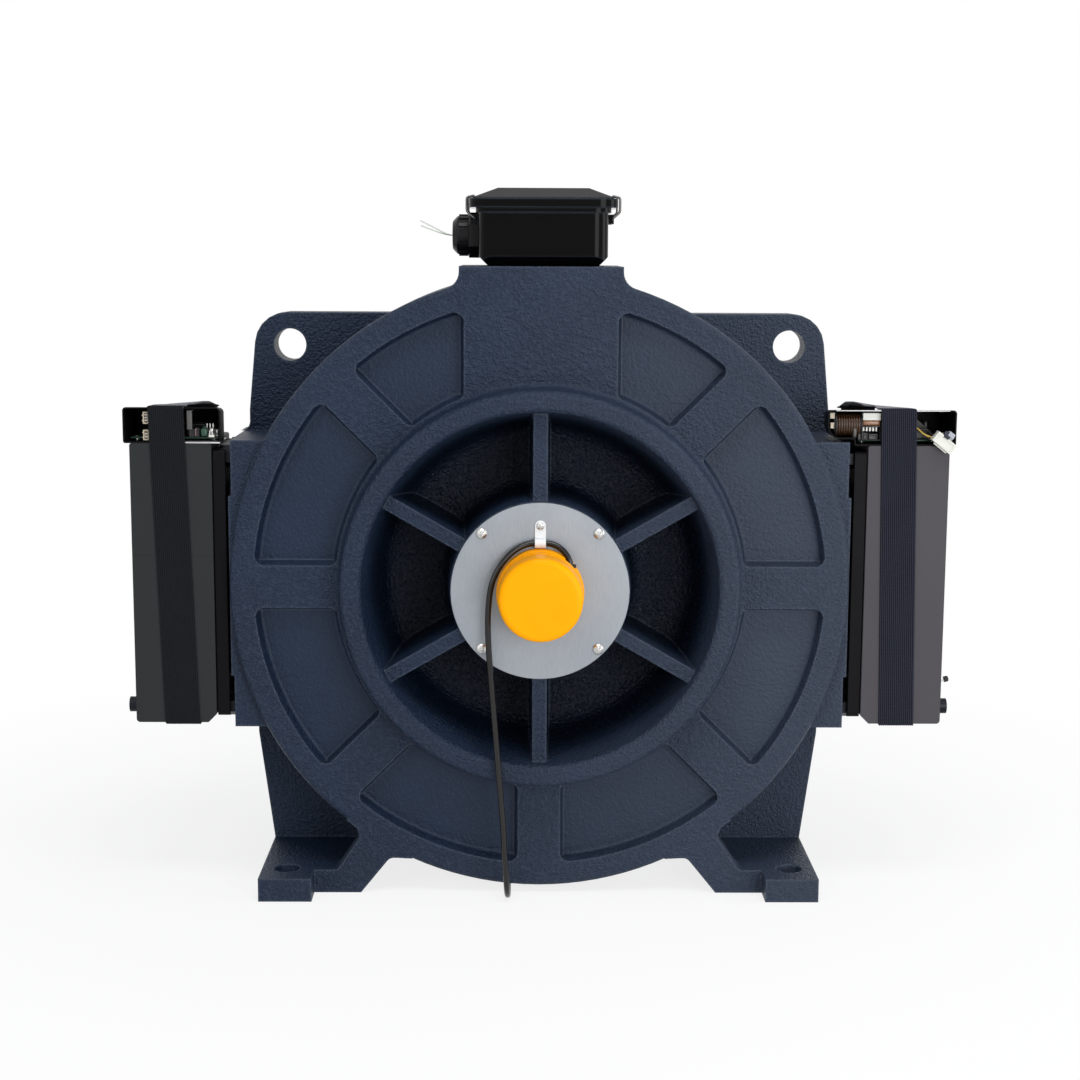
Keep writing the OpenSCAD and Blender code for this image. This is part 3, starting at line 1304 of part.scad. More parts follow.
module right_circuit_board() circuit_board(1, right_cover_x + 8,
    [[1, 1, 24, 16, 14], [28, 2, 14, 12, 13], [46, 4, 12, 10, 10], [60, 2, 9, 12, 12], [74, 3, 14, 10, 12],
     [2, 20, 22, 20, 11], [28, 18, 22, 12, 11], [54, 18, 16, 14, 11], [74, 16, 14, 16, 11],
     [30, 34, 48, 11, 9]],
    [[84, 38, 4, 9]]);
module right_strap() brake_strap(1, right_strap_x);

frame_casting();
stator_core();
stator_winding();
main_bearing_cap();
cap_screws();
rear_bearing_outer_ring();
rear_bearing_balls();
rear_bearing_inner_ring();
main_bearing_outer_ring();
main_bearing_balls();
main_bearing_inner_ring();
main_shaft();
rotor_key();
rotor_drum();
rotor_magnets();
traction_sheave();
rotor_bolts();
shaft_end_plate();
encoder_plate();
encoder_screws();
encoder_body();
encoder_spindle();
encoder_collar();
encoder_cap();
cable_grommet();
cable_clip();
encoder_cable();
cable_coil();
encoder_plug();
terminal_box();
box_lid();
left_lid_bail();
right_lid_bail();
terminal_block();
box_screws();
gland_body();
gland_nut();
sensor_wires();
left_magnet();
left_coils();
left_springs();
left_guide_pins();
left_armature();
left_brake_shoe();
left_sleeves();
left_bolts();
left_cover();
left_circuit_board();
left_strap();
right_magnet();
right_coils();
right_springs();
right_guide_pins();
right_armature();
right_brake_shoe();
right_sleeves();
right_bolts();
right_cover();
right_circuit_board();
right_strap();
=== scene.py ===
import json
import math
from contextlib import contextmanager
import bpy
import bmesh
from mathutils import Matrix, Vector


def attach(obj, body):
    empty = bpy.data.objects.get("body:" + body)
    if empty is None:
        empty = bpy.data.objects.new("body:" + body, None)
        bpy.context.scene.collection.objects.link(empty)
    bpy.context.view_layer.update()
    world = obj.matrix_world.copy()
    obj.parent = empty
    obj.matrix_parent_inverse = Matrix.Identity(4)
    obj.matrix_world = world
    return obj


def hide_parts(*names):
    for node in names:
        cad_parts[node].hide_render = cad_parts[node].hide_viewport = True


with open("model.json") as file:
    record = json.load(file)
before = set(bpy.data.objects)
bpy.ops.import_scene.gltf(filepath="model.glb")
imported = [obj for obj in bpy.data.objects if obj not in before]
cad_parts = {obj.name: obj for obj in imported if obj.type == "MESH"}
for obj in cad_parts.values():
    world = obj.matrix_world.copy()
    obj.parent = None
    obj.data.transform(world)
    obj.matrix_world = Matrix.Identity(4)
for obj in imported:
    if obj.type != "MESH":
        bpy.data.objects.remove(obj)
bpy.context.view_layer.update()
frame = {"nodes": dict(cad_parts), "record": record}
nodes = frame["nodes"]
TAU = 2 * math.pi

# Sizes and places are in millimetres, and MM turns them into metres where they are used
MM = 0.001
SHAFT_Z = 266
FRONT_Y = -127
POCKET_FLOOR_Y = -93
RECESS_R = 168
CABLE_D = 5
WIRE_D = 1.2
STRAP_W = 29.5
STRAP_RIBS = 18
STRAP_THICK = 1.3
THREAD_PITCH = 1.2
COVER_FRONT_Y, COVER_BACK_Y = -95, -35
COVER_FOOT_Z, COVER_TOP_Z = 385, 415
COVER_WALL = 1.2
FLOOR_Z = 386.3
BOARD_LOW, BOARD_TOP = 388.2, 389.8
BOARD_FRONT_Y, BOARD_BACK_Y = -88, -38


def deselect():
    bpy.ops.object.select_all(action="DESELECT")


deselect()


# ---- camera ----

CAMERA_PLACE = Vector((-16.9, -1671.3, 547.3))
CAMERA_PITCH, CAMERA_YAW, CAMERA_ROLL = 8.749, 0.615, 0.280
SENSOR_W = 36
FOCAL_LENGTH = 63.3333
FARTHEST = 50000


def set_camera():
    """The camera looks slightly down and a touch to the right of the shaft's line."""
    pitch, yaw, roll = (math.radians(a) for a in (CAMERA_PITCH, CAMERA_YAW, CAMERA_ROLL))
    ahead = Vector((math.sin(yaw) * math.cos(pitch), math.cos(yaw) * math.cos(pitch), -math.sin(pitch)))
    right = ahead.cross(Vector((0, 0, 1))).normalized()
    up = right.cross(ahead)
    right, up = (math.cos(roll) * right + math.sin(roll) * up,
                 math.cos(roll) * up - math.sin(roll) * right)
    lens = bpy.data.cameras.new("camera")
    lens.sensor_width = SENSOR_W
    lens.lens = FOCAL_LENGTH
    lens.clip_end = FARTHEST * MM
    camera = bpy.data.objects.new("camera", lens)
    bpy.context.scene.collection.objects.link(camera)
    turn = Matrix((right, up, -ahead)).transposed().to_4x4()
    camera.matrix_world = Matrix.Translation(CAMERA_PLACE * MM) @ turn
    bpy.context.scene.camera = camera


set_camera()


# ---- cords ----

def smooth_line(points, steps):
    """The points of a Catmull-Rom line through the given ones."""
    line = []
    ends = [2 * points[0] - points[1]] + points + [2 * points[-1] - points[-2]]
    for i in range(1, len(ends) - 2):
        a, b, c, d = ends[i - 1:i + 3]
        for k in range(steps):
            t = k / steps
            line.append(0.5 * (2 * b + (c - a) * t + (2 * a - 5 * b + 4 * c - d) * t * t
                               + (3 * b - a - 3 * c + d) * t ** 3))
    return line + [points[-1]]


def line_length(points):
    return sum((b - a).length for a, b in zip(points, points[1:]))


def cord_curve(name, points, diameter):
    """A round cord. Its points carry the scale, which keeps the curve's own box true."""
    curve = bpy.data.curves.new(name, "CURVE")
    curve.dimensions = "3D"
    curve.bevel_depth = diameter / 2
    curve.bevel_resolution = 5
    curve.use_fill_caps = True
    spline = curve.splines.new("POLY")
    spline.points.add(len(points) - 1)
    for spot, p in zip(spline.points, points):
        spot.co = (*p, 1)
        spot.radius = MM
    piece = bpy.data.objects.new(name, curve)
    bpy.context.scene.collection.objects.link(piece)
    return piece


# The encoder cable's route as X, depth from the ring boss and height, in millimetres: first
# with heights above the shaft, then with heights above the floor
UPPER_ROUTE = [
    (25, -6, 20.5), (24.3, -5.7, 25.8), (22.3, -4.7, 30.8), (19, -3.5, 35), (14.8, -2.3, 38.3),
    (9.8, -1.3, 40.3), (4.5, -1, 41), (0, -1, 41), (-4.5, -1, 41), (-10, -1.3, 40.3),
    (-17, -2.4, 37.7), (-24.5, -4.3, 32.6), (-31, -6.3, 25.5), (-36.5, -8, 16.5),
    (-40.3, -9.3, 6), (-42.3, -10, -8), (-43, -10, -26), (-42, -9, -51), (-40, -8, -76),
    (-38, -7, -101), (-36, -6, -126)]
LOWER_ROUTE = [
    (-34, -6, 115), (-32, -6, 90), (-30, -7, 66), (-29, -8, 44), (-28, -8, 30), (-27.5, -8, 22.6),
    (-27, -6.5, 15), (-26.6, -2.1, 8.5), (-26.3, 4.3, 4.1), (-26, 12, 2.6), (-26, 30, 2.6),
    (-26, 60, 2.6), (-26, 90, 2.6), (-26, 120, 2.6), (-26, 150, 2.6), (-26, 174, 2.6)]
COIL_PLACE = Vector((-56, 55, 0))
COIL_OUTER_R, COIL_INNER_R = 30.2, 24.7
COIL_FOOT_Z = 2.6
COIL_LEVEL = 5.2
COIL_STEP = 10
PLUG_Y = 79.1
# Each thin wire's route, in the row's axes
SENSOR_ROUTES = {
    "rear": [(-69, -31.7, 557.5), (-76, -31.7, 557.5), (-82, -31.4, 558.5), (-90, -31.2, 561),
             (-102, -31, 565.5)],
    "front": [(-69, -34.3, 557.5), (-76, -34.3, 557.5), (-82, -34.8, 559.5), (-90, -35.6, 563.5),
              (-102, -37, 569.5)],
}
LEAD_ROUTES = {
    "yellow": [(296, -80, 404), (301, -82, 405.5), (306, -84.5, 405.3), (311, -87, 403),
               (316, -89.5, 398.8), (320, -91.5, 395.2), (324, -93, 393.2), (328, -93.6, 392.4)],
    "brown": [(296, -76, 400), (302, -78, 402), (308, -80.5, 402), (314, -84, 400),
              (319, -87.5, 396), (323, -90.2, 392.6), (327, -92.2, 390)],
}


def eased(angle, start):
    """A share that rises smoothly from 0 to 1 over a quarter turn, from a start in degrees."""
    t = min(max((angle - start) / 90, 0), 1)
    return t * t * (3 - 2 * t)


def coil_points():
    """Three turns on two levels, from the floor up, that end heading for the plug."""
    points = []
    for angle in range(0, 3 * 360 + 1, COIL_STEP):
        radius = COIL_OUTER_R - (COIL_OUTER_R - COIL_INNER_R) * (eased(angle, 250) - eased(angle, 790))
        height = COIL_FOOT_Z + COIL_LEVEL * eased(angle, 520)
        a = math.radians(angle)
        points.append(COIL_PLACE + Vector((radius * math.cos(a), radius * math.sin(a), height)))
    last = points[-1]
    return points + [last + Vector((0, (PLUG_Y - last.y) * t, 0.2 * t)) for t in (0.35, 0.7, 1)]


def encoder_cable():
    """The jacketed cable from the encoder, over its clip, down and under, to its coil and plug."""
    route = [Vector((x, FRONT_Y + d, SHAFT_Z + h)) for x, d, h in UPPER_ROUTE]
    route += [Vector((x, FRONT_Y + d, z)) for x, d, z in LOWER_ROUTE]
    points = [p * MM for p in smooth_line(route + coil_points(), 4)]
    cable = cord_curve("cable", points, CABLE_D)
    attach(cable, "frame")
    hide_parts("encoder_cable", "cable_coil")
    round(line_length(points), 4)
    return cable


def thin_wire(name, route, steps):
    """A thin jacketed wire, and the points of its line."""
    line = smooth_line([Vector(p) * MM for p in route], steps)
    wire = cord_curve(name, line, WIRE_D)
    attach(wire, "frame")
    return wire, line


def sensor_wires():
    """Two thin wires that end bared, just outside the gland."""
    wires = []
    for word, route in SENSOR_ROUTES.items():
        wire, line = thin_wire("wire_" + word, route, 5)
        round(line_length(line), 4)
        wires.append(wire)
    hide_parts("sensor_wires")
    return wires


cable = encoder_cable()
wires = sensor_wires()
# The leads of the right brake's board, whose lengths are worked out once their plug is made
leads = {word: thin_wire("lead_" + word, route, 6) for word, route in LEAD_ROUTES.items()}


# ---- finishes ----
# Here bevel radii and bump depths are in metres, and noise scales are per metre

class Wire:
    """An output socket that takes part in arithmetic."""

    def __init__(self, finish, socket):
        self.finish = finish
        self.socket = socket

    def __add__(self, other):
        return self.finish.maths("ADD", self, other)

    def __sub__(self, other):
        return self.finish.maths("SUBTRACT", self, other)

    def __mul__(self, other):
        return self.finish.maths("MULTIPLY", self, other)

    def __rsub__(self, other):
        return self.finish.maths("SUBTRACT", other, self)

    __radd__ = __add__
    __rmul__ = __mul__


class Finish:
    """A material whose nodes are added one by one."""

    def __init__(self, name, **surface):
        self.material = bpy.data.materials.new(name)
        self.material.use_nodes = True
        self.tree = self.material.node_tree
        self.tree.nodes.clear()
        self.surface = self.tree.nodes.new("ShaderNodeBsdfPrincipled")
        self.out = self.tree.nodes.new("ShaderNodeOutputMaterial")
        self.tree.links.new(self.surface.outputs[0], self.out.inputs[0])
        self.place = self.node("TexCoord", output="Object")
        self.set(**surface)

    def feed(self, node, socket, value):
        if isinstance(value, Wire):
            self.tree.links.new(value.socket, node.inputs[socket])
        elif isinstance(value, tuple) and len(value) == 3 and node.inputs[socket].type == "RGBA":
            node.inputs[socket].default_value = (*value, 1)
        else:
            node.inputs[socket].default_value = value

    def node(self, kind, settings=None, inputs=None, output=0):
        made = self.tree.nodes.new("ShaderNode" + kind)
        for name, value in (settings or {}).items():
            setattr(made, name, value)
        for socket, value in (inputs or {}).items():
            self.feed(made, socket, value)
        return Wire(self, made.outputs[output])

    def set(self, **surface):
        names = {"color": "Base Color", "rough": "Roughness", "metal": "Metallic", "normal": "Normal",
                 "specular": "Specular IOR Level", "sheen": "Sheen Weight"}
        for name, value in surface.items():
            self.feed(self.surface, names[name], value)

    def noise(self, scale, detail, rough=0.5, vector=None):
        return self.node("TexNoise", {}, {"Vector": vector or self.place, "Scale": scale,
                                          "Detail": detail, "Roughness": rough})

    def streaks(self, scales, detail=3, rough=0.6):
        """Noise that is drawn out along the axes with the smaller scales."""
        place = self.node("Mapping", {}, {"Vector": self.place, "Scale": scales})
        return self.noise(1.0, detail, rough, place)

    def maths(self, operation, *values):
        return self.node("Math", {"operation": operation}, dict(enumerate(values)))

    def vector_maths(self, operation, *values, output="Vector"):
        return self.node("VectorMath", {"operation": operation}, dict(enumerate(values)), output)

    def edges(self, radius, low, high):
        """A share that rises towards the outer edges, from how far a rounded normal leans."""
        flat = self.node("NewGeometry", output="Normal")
        lean = self.vector_maths("DOT_PRODUCT", self.rounded(radius), flat, output="Value")
        return self.ramp(1 - lean, low, high)

    def ramp(self, value, low, high):
        """A share that rises from 0 at one value to 1 at another."""
        made = self.node("ValToRGB", {}, {0: value})
        for stop, spot, shade in zip(made.socket.node.color_ramp.elements, (low, high), (0, 1)):
            stop.position = spot
            stop.color = (shade, shade, shade, 1)
        return made

    def mix(self, amount, first, second):
        made = self.node("Mix", {"data_type": "RGBA"}, {"Factor": amount}, output=2)
        self.feed(made.socket.node, 6, first)
        self.feed(made.socket.node, 7, second)
        return made

    def bump(self, height, depth, strength, over=None):
        inputs = {"Height": height, "Distance": depth, "Strength": strength}
        if over:
            inputs["Normal"] = over
        return self.node("Bump", {}, inputs)

    def rounded(self, radius):
        return self.node("Bevel", {"samples": 4}, {"Radius": radius})

    def split(self, vector=None):
        """The three coordinates of a vector, or of the place on the object."""
        parts = self.node("SeparateXYZ", {}, {0: vector or self.place}).socket.node
        return [Wire(self, part) for part in parts.outputs]


def casting_paint():
    """Navy enamel over sand-cast iron: pebbled, smoother on the pocket floors, with painted highlights on
    its edges, a painted sheen growing towards the right, and painted shade down in the recess, which is
    glossier."""
    f = Finish("casting_paint", specular=0.22)
    peel = f.noise(640, 2, 0.5)
    sand = f.noise(330, 3, 0.6)
    broad = f.noise(9, 3, 0.5)
    across, depth, _ = f.split()
    pocket_floor = f.maths("COMPARE", depth, POCKET_FLOOR_Y * MM, 0.0015)
    grain = (0.6 * peel + sand) * (1 - 0.7 * pocket_floor)
    flattened = f.vector_maths("MULTIPLY", f.place, (1, 0, 1))
    radius = f.vector_maths("DISTANCE", flattened, (0, 0, SHAFT_Z * MM), output="Value")
    recess = f.maths("LESS_THAN", radius, RECESS_R * MM) * f.ramp(depth + 0.5, 0.39, 0.42)
    # Painted sheen: the colour grows paler towards the right, as where light falls from that side, and is
    # kept mostly out of the recess.
    right_sheen = f.ramp(across * 1.5 + 0.3 * broad + 0.35, 0.4, 1.0)
    enamel = f.mix(f.ramp(broad, 0.35, 0.7), (0.0050, 0.0135, 0.034), (0.0072, 0.0185, 0.044))
    sheened = f.mix((0.03 + 0.5 * right_sheen) * (1 - 0.8 * recess), enamel, (0.050, 0.061, 0.086))
    pebbled = f.mix(f.ramp(sand, 0.47, 0.66) * (0.24 - 0.18 * pocket_floor), sheened,
                    (0.048, 0.066, 0.108))
    # Painted shade: the recess is darkened towards near-black.
    deep = f.mix(0.72 * recess, pebbled, (0.0012, 0.0028, 0.0065))
    # Painted highlight: the edges are lightened where a rounded normal leans away from the flat one.
    f.set(color=f.mix(0.6 * f.edges(0.0032, 0.015, 0.2), deep, (0.085, 0.105, 0.15)),
          rough=0.3 + 0.14 * sand + 0.06 * broad - 0.12 * recess,
          normal=f.bump(grain, 0.0026, 0.9, f.rounded(0.002)))
    return f.material


def shaded(color, share):
    return tuple(share * c for c in color)


def plain_paint(name, color, rough=0.45, grain=0.25, specular=0.3):
    f = Finish(name, specular=specular)
    fine = f.noise(900, 2)
    broad = f.noise(14, 3)
    f.set(color=f.mix(broad, shaded(color, 0.86), color), rough=rough - 0.06 + 0.14 * broad,
          normal=f.bump(fine, 0.0002, grain, f.rounded(0.0006)))
    return f.material


def gloss_plastic(name, color, rough, wave=0.05, specular=0.5):
    f = Finish(name, specular=specular)
    broad = f.noise(30, 2)
    f.set(color=f.mix(broad, color, shaded(color, 1.12)), rough=rough + 0.06 * f.noise(200, 3),
          normal=f.bump(broad, 0.001, wave, f.rounded(0.0008)))
    return f.material


def box_enamel():
    """Deep black enamel with a painted bluish highlight along its pressed edges."""
    f = Finish("gloss_black", specular=0.07)
    broad = f.noise(30, 2)
    # Painted highlight: the pressed edges are lightened to a bluish grey.
    f.set(color=f.mix((0.5 + 0.3 * broad) * f.edges(0.0022, 0.02, 0.22), (0.0020, 0.0020, 0.0024),
                      (0.055, 0.066, 0.085)),
          rough=0.07 + 0.06 * f.noise(200, 3), normal=f.bump(broad, 0.001, 0.04, f.rounded(0.001)))
    return f.material


def matte_plastic(name, color, rough=0.5, grain=0.3, specular=0.4):
    f = Finish(name, specular=specular)
    fine = f.noise(1300, 2)
    f.set(color=f.mix(f.noise(60, 3), color, shaded(color, 0.8)), rough=rough + 0.12 * fine,
          normal=f.bump(fine, 0.0001, grain, f.rounded(0.0003)))
    return f.material


def bare_metal(name, color, rough=0.3, grain=0.2, scratch=(300, 300, 300)):
    f = Finish(name, metal=1.0)
    lines = f.streaks(scratch)
    f.set(color=f.mix(f.noise(40, 3), color, shaded(color, 0.82)), rough=rough + 0.2 * lines,
          normal=f.bump(lines, 0.0001, grain, f.rounded(0.0004)))
    return f.material


def zinc_plate():
    """Galvanised sheet with upright brush lines and a fine grey spangle."""
    f = Finish("zinc_plate", metal=0.85)
    brush = f.streaks((2600, 300, 120), 4, 0.65)
    cloud = f.noise(22, 3)
    speck = f.noise(700, 3, 0.7)
    streaky = 0.5 * brush + 0.35 * cloud + 0.1 * speck
    f.set(color=f.mix(streaky, (0.15, 0.175, 0.205), (0.42, 0.44, 0.465)),
          rough=0.42 + 0.2 * speck, normal=f.bump(brush + 0.6 * speck, 0.00012, 0.4, f.rounded(0.0006)))
    return f.material


def brake_paint(name, color, seam_z=None):
    """Thin dark paint, faintly brushed upright, with a dark seam where a height is given."""
    f = Finish(name, specular=0.22)
    fine = f.noise(1100, 2)
    brush = f.streaks((900, 900, 16))
    broad = f.noise(11, 3)
    speck = f.noise(1600, 2, 0.6)
    coat = f.mix(0.35 * brush + 0.3 * broad + 0.35 * speck, shaded(color, 0.68), shaded(color, 1.16))
    if seam_z:
        seam = f.maths("COMPARE", f.split()[2], seam_z * MM, 0.0006)
        coat = f.mix(0.45 * seam, coat, shaded(color, 0.4))
    f.set(color=coat, rough=0.45 + 0.16 * brush,
          normal=f.bump(fine + 0.5 * brush, 0.0002, 0.3, f.rounded(0.001)))
    return f.material


def webbing():
    """Black-blue woven tape. The UV map's first axis runs across the ribs and its second along them."""
    f = Finish("strap_webbing", specular=0.14, sheen=0.06)
    over, along, _ = f.split(f.node("TexCoord", output="UV"))
    ribs = f.maths("COSINE", over * (TAU * STRAP_RIBS / (STRAP_W * MM)))
    weave = f.maths("SINE", along * (TAU / (THREAD_PITCH * MM)) + ribs * 1.5)
    fuzz = f.noise(1500, 3, 0.6)
    tint = f.noise(25, 3)
    # Painted light: towards the right the thread is painted lighter and bluer, as where light falls from
    # that side.
    side = f.ramp(f.split()[0] + 0.5, 0.3, 0.7)
    mottle = 0.2 * weave + 0.5 * fuzz + 0.3 * tint
    thread = f.mix(side, f.mix(mottle, (0.0026, 0.0034, 0.005), (0.0115, 0.0145, 0.019)),
                   f.mix(mottle, (0.008, 0.0095, 0.018), (0.034, 0.038, 0.066)))
    f.set(color=f.mix(f.ramp(0.5 + 0.5 * ribs, 0.25, 0.9), thread, (0.0018, 0.0018, 0.003)),
          rough=0.75, normal=f.bump(weave + 1.5 * fuzz, 0.00016, 0.6))
    return f.material


def satin_tape():
    """The smooth, paler reverse of the tape, where it turns over on top of a cover."""
    f = Finish("satin_tape", specular=0.5, sheen=0.3)
    thread = f.streaks((1600, 90, 90))
    f.set(color=f.mix(thread, (0.055, 0.058, 0.070), (0.15, 0.155, 0.18)), rough=0.42 + 0.2 * thread,
          normal=f.bump(thread, 0.0002, 0.4))
    return f.material


# What each plain finish is made with, by kind: its colour, then the roughness and what follows
METALS = {
    "lamination_steel": ((0.30, 0.31, 0.33), 0.45, 0.5, (200, 3000, 200)),
    "winding_copper": ((0.50, 0.22, 0.10), 0.3),
    "bright_steel": ((0.60, 0.60, 0.59), 0.22),
    "rotor_iron": ((0.36, 0.37, 0.38), 0.34, 0.4, (60, 2500, 60)),
    "magnet_metal": ((0.45, 0.46, 0.47), 0.35),
    "sheave_iron": ((0.40, 0.41, 0.42), 0.30, 0.4, (60, 2500, 60)),
    "encoder_metal": ((0.5, 0.52, 0.54), 0.35),
    "spring_steel": ((0.16, 0.15, 0.15), 0.28),
    "shoe_iron": ((0.05, 0.05, 0.055), 0.5),
    "black_steel": ((0.022, 0.023, 0.028), 0.32),
    "tin": ((0.72, 0.72, 0.70), 0.2),
    "sheet_edge": ((0.50, 0.50, 0.51), 0.35),
}
PAINTS = {
    "dark_paint": ((0.0045, 0.0045, 0.0055), 0.45, 0.25, 0.07),
    "tab_grey": ((0.105, 0.10, 0.098), 0.45),
    "fish_paper": ((0.016, 0.013, 0.012), 0.4),
}
GLOSSY = {
    "yellow_plastic": ((0.90, 0.355, 0.0), 0.33, 0.02, 0.08),
    "cable_jacket": ((0.0065, 0.0052, 0.0050), 0.16, 0.03, 0.4),
    "board_green": ((0.004, 0.022, 0.013), 0.3, 0.05, 0.25),
    "film_green": ((0.012, 0.050, 0.030), 0.2),
    "film_brown": ((0.20, 0.085, 0.035), 0.18),
    "winding_brown": ((0.040, 0.019, 0.009), 0.18, 0.05, 0.4),
    "pink_film": ((0.30, 0.20, 0.19), 0.25),
    "boot_blue": ((0.012, 0.016, 0.032), 0.25),
}
MATTE = {
    "black_rubber": ((0.012, 0.012, 0.012), 0.6),
    "white_nylon": ((0.86, 0.88, 0.90), 0.34),
    "black_plastic": ((0.006, 0.006, 0.0075), 0.25, 0.3, 0.16),
    "cream_plastic": ((0.62, 0.57, 0.45), 0.42),
    "wire_jacket": ((0.70, 0.76, 0.68), 0.4),
    "relay_black": ((0.008, 0.008, 0.010), 0.3),
    "ceramic_white": ((0.78, 0.77, 0.72), 0.45),
    "plug_white": ((0.66, 0.66, 0.60), 0.3, 0.2),
    "plug_cream": ((0.56, 0.49, 0.38), 0.34),
    "boot_grey": ((0.36, 0.38, 0.42), 0.35),
    "yellow_wire": ((0.62, 0.44, 0.08), 0.35),
    "brown_wire": ((0.085, 0.045, 0.030), 0.35),
}
FINISHES = {
    "casting_paint": casting_paint(),
    "zinc_plate": zinc_plate(),
    "gloss_black": box_enamel(),
    # The right brake's paint is a warmer grey than the left's, and about three times lighter, partly as
    # painted light from the right.
    "left_brake_paint": brake_paint("left_brake_paint", (0.0175, 0.0202, 0.0210), 290.5),
    "right_brake_paint": brake_paint("right_brake_paint", (0.058, 0.054, 0.062)),
    "strap_webbing": webbing(),
    "satin_tape": satin_tape(),
}
for kind, recipes in ((bare_metal, METALS), (plain_paint, PAINTS), (gloss_plastic, GLOSSY),
                      (matte_plastic, MATTE)):
    for name, recipe in recipes.items():
        FINISHES[name] = kind(name, *recipe)


def paint(piece, finish):
    piece.data.materials.clear()
    piece.data.materials.append(FINISHES[finish])


for row in frame["record"]["subparts"]:
    paint(nodes[row["node"]], row["material_slot"])
paint(cable, "cable_jacket")
for wire in wires:
    paint(wire, "wire_jacket")
for word, (lead, _) in leads.items():
    paint(lead, word + "_wire")


# ---- straps ----

LOOP_STEP = 8
BEND_STEPS = 5


def run_between(start, end, out):
    """Points with one outward direction, evenly between two places but on neither."""
    count = max(1, round((end - start).length / LOOP_STEP))
    return [(start.lerp(end, k / count), out) for k in range(1, count)]


def rounded_loop(corners):
    """Points and outward directions round a closed loop of (y, z, radius) corners."""
    line = []
    spots = [Vector((y, z)) for y, z, _ in corners]
    for i, (_, _, radius) in enumerate(corners):
        here, back, on = spots[i], spots[i - 1], spots[(i + 1) % len(spots)]
        way_in, way_on = (here - back).normalized(), (on - here).normalized()
        out_in, out_on = Vector((-way_in.y, way_in.x)), Vector((-way_on.y, way_on.x))
        tangent = radius * math.tan(out_in.angle(out_on) / 2)
        start = here - way_in * tangent
        centre = start - out_in * radius
        if line:
            line += run_between(line[-1][0], start, out_in)
        for k in range(BEND_STEPS + 1):
            out = out_in.slerp(out_on, k / BEND_STEPS)
            line.append((centre + out * radius, out))
    return line + run_between(line[-1][0], *line[0])


STRAP_FRONT_Y, STRAP_BACK_Y = -95.4, 5.5
STRAP_FOOT_Z, STRAP_SHOULDER_Z, STRAP_CREST_Z = 146.6, 385.6, 415.3
ROOF_FRONT_Y, ROOF_BACK_Y = -93, -36
# Each strap's loop as (y, z, corner radius, middle x), clockwise seen from the right: up the
# front, loosely over the cover's roof, down the back and under
STRAP_LOOPS = {
    "left": ((STRAP_FRONT_Y, STRAP_FOOT_Z, 0.5, -302.2), (STRAP_FRONT_Y, STRAP_CREST_Z, 0.6, -311.6),
             (-84, 415.8, 12, -306), (-60, 415.2, 20, -296), (-34.2, 411.4, 5, -291),
             (STRAP_BACK_Y, STRAP_SHOULDER_Z, 0.8, -298), (STRAP_BACK_Y, STRAP_FOOT_Z, 0.5, -302.2)),
    "right": ((STRAP_FRONT_Y, STRAP_FOOT_Z, 0.5, 304.7), (STRAP_FRONT_Y, STRAP_CREST_Z, 0.6, 298),
              (-84, 416, 12, 290), (-58, 415.8, 20, 276), (-34.2, 411.8, 5, 271.5),
              (STRAP_BACK_Y, STRAP_SHOULDER_Z, 0.8, 286), (STRAP_BACK_Y, STRAP_FOOT_Z, 0.5, 304.7)),
}
# How much higher the edge next to the casting lies on the roof than the other edge
STRAP_TILT = {"left": -2.5, "right": 5}
RIB_DEPTH = 0.45
RIB_POINTS = 4


def strap_middles(line, corners):
    """The middle x of each point of the loop, evenly between those of the corners."""
    marks = []
    for y, z, _, x in corners:
        marks.append((min(range(len(line)), key=lambda i: (line[i][0] - Vector((y, z))).length), x))
    marks.sort()
    middles = []
    for i in range(len(line)):
        before = max((m for m in marks if m[0] <= i), default=(marks[-1][0] - len(line), marks[-1][1]))
        after = min((m for m in marks if m[0] > i), default=(marks[0][0] + len(line), marks[0][1]))
        share = (i - before[0]) / (after[0] - before[0])
        middles.append(before[1] + (after[1] - before[1]) * share)
    return middles


def roof_tilt(side, spot):
    """How far a strap is tilted at a point of its loop: only on the roof, and most in its middle."""
    if spot.y < COVER_TOP_Z - 10:
        return 0
    share = (spot.x - ROOF_FRONT_Y) / (ROOF_BACK_Y - ROOF_FRONT_Y)
    return STRAP_TILT[side] * math.sin(math.pi * min(max(share, 0), 1))


def strap_faces(count, columns):
    """The outer and inner skins of a closed band and its two edges."""
    row = 2 * columns
    faces = []
    for i in range(count):
        a, b = i * row, ((i + 1) % count) * row
        for c in range(columns - 1):
            faces.append((a + c, b + c, b + c + 1, a + c + 1))
            faces.append((a + columns + c, a + columns + c + 1, b + columns + c + 1, b + columns + c))
        faces.append((a, a + columns, b + columns, b))
        faces.append((a + columns - 1, b + columns - 1, b + row - 1, a + row - 1))
    return faces


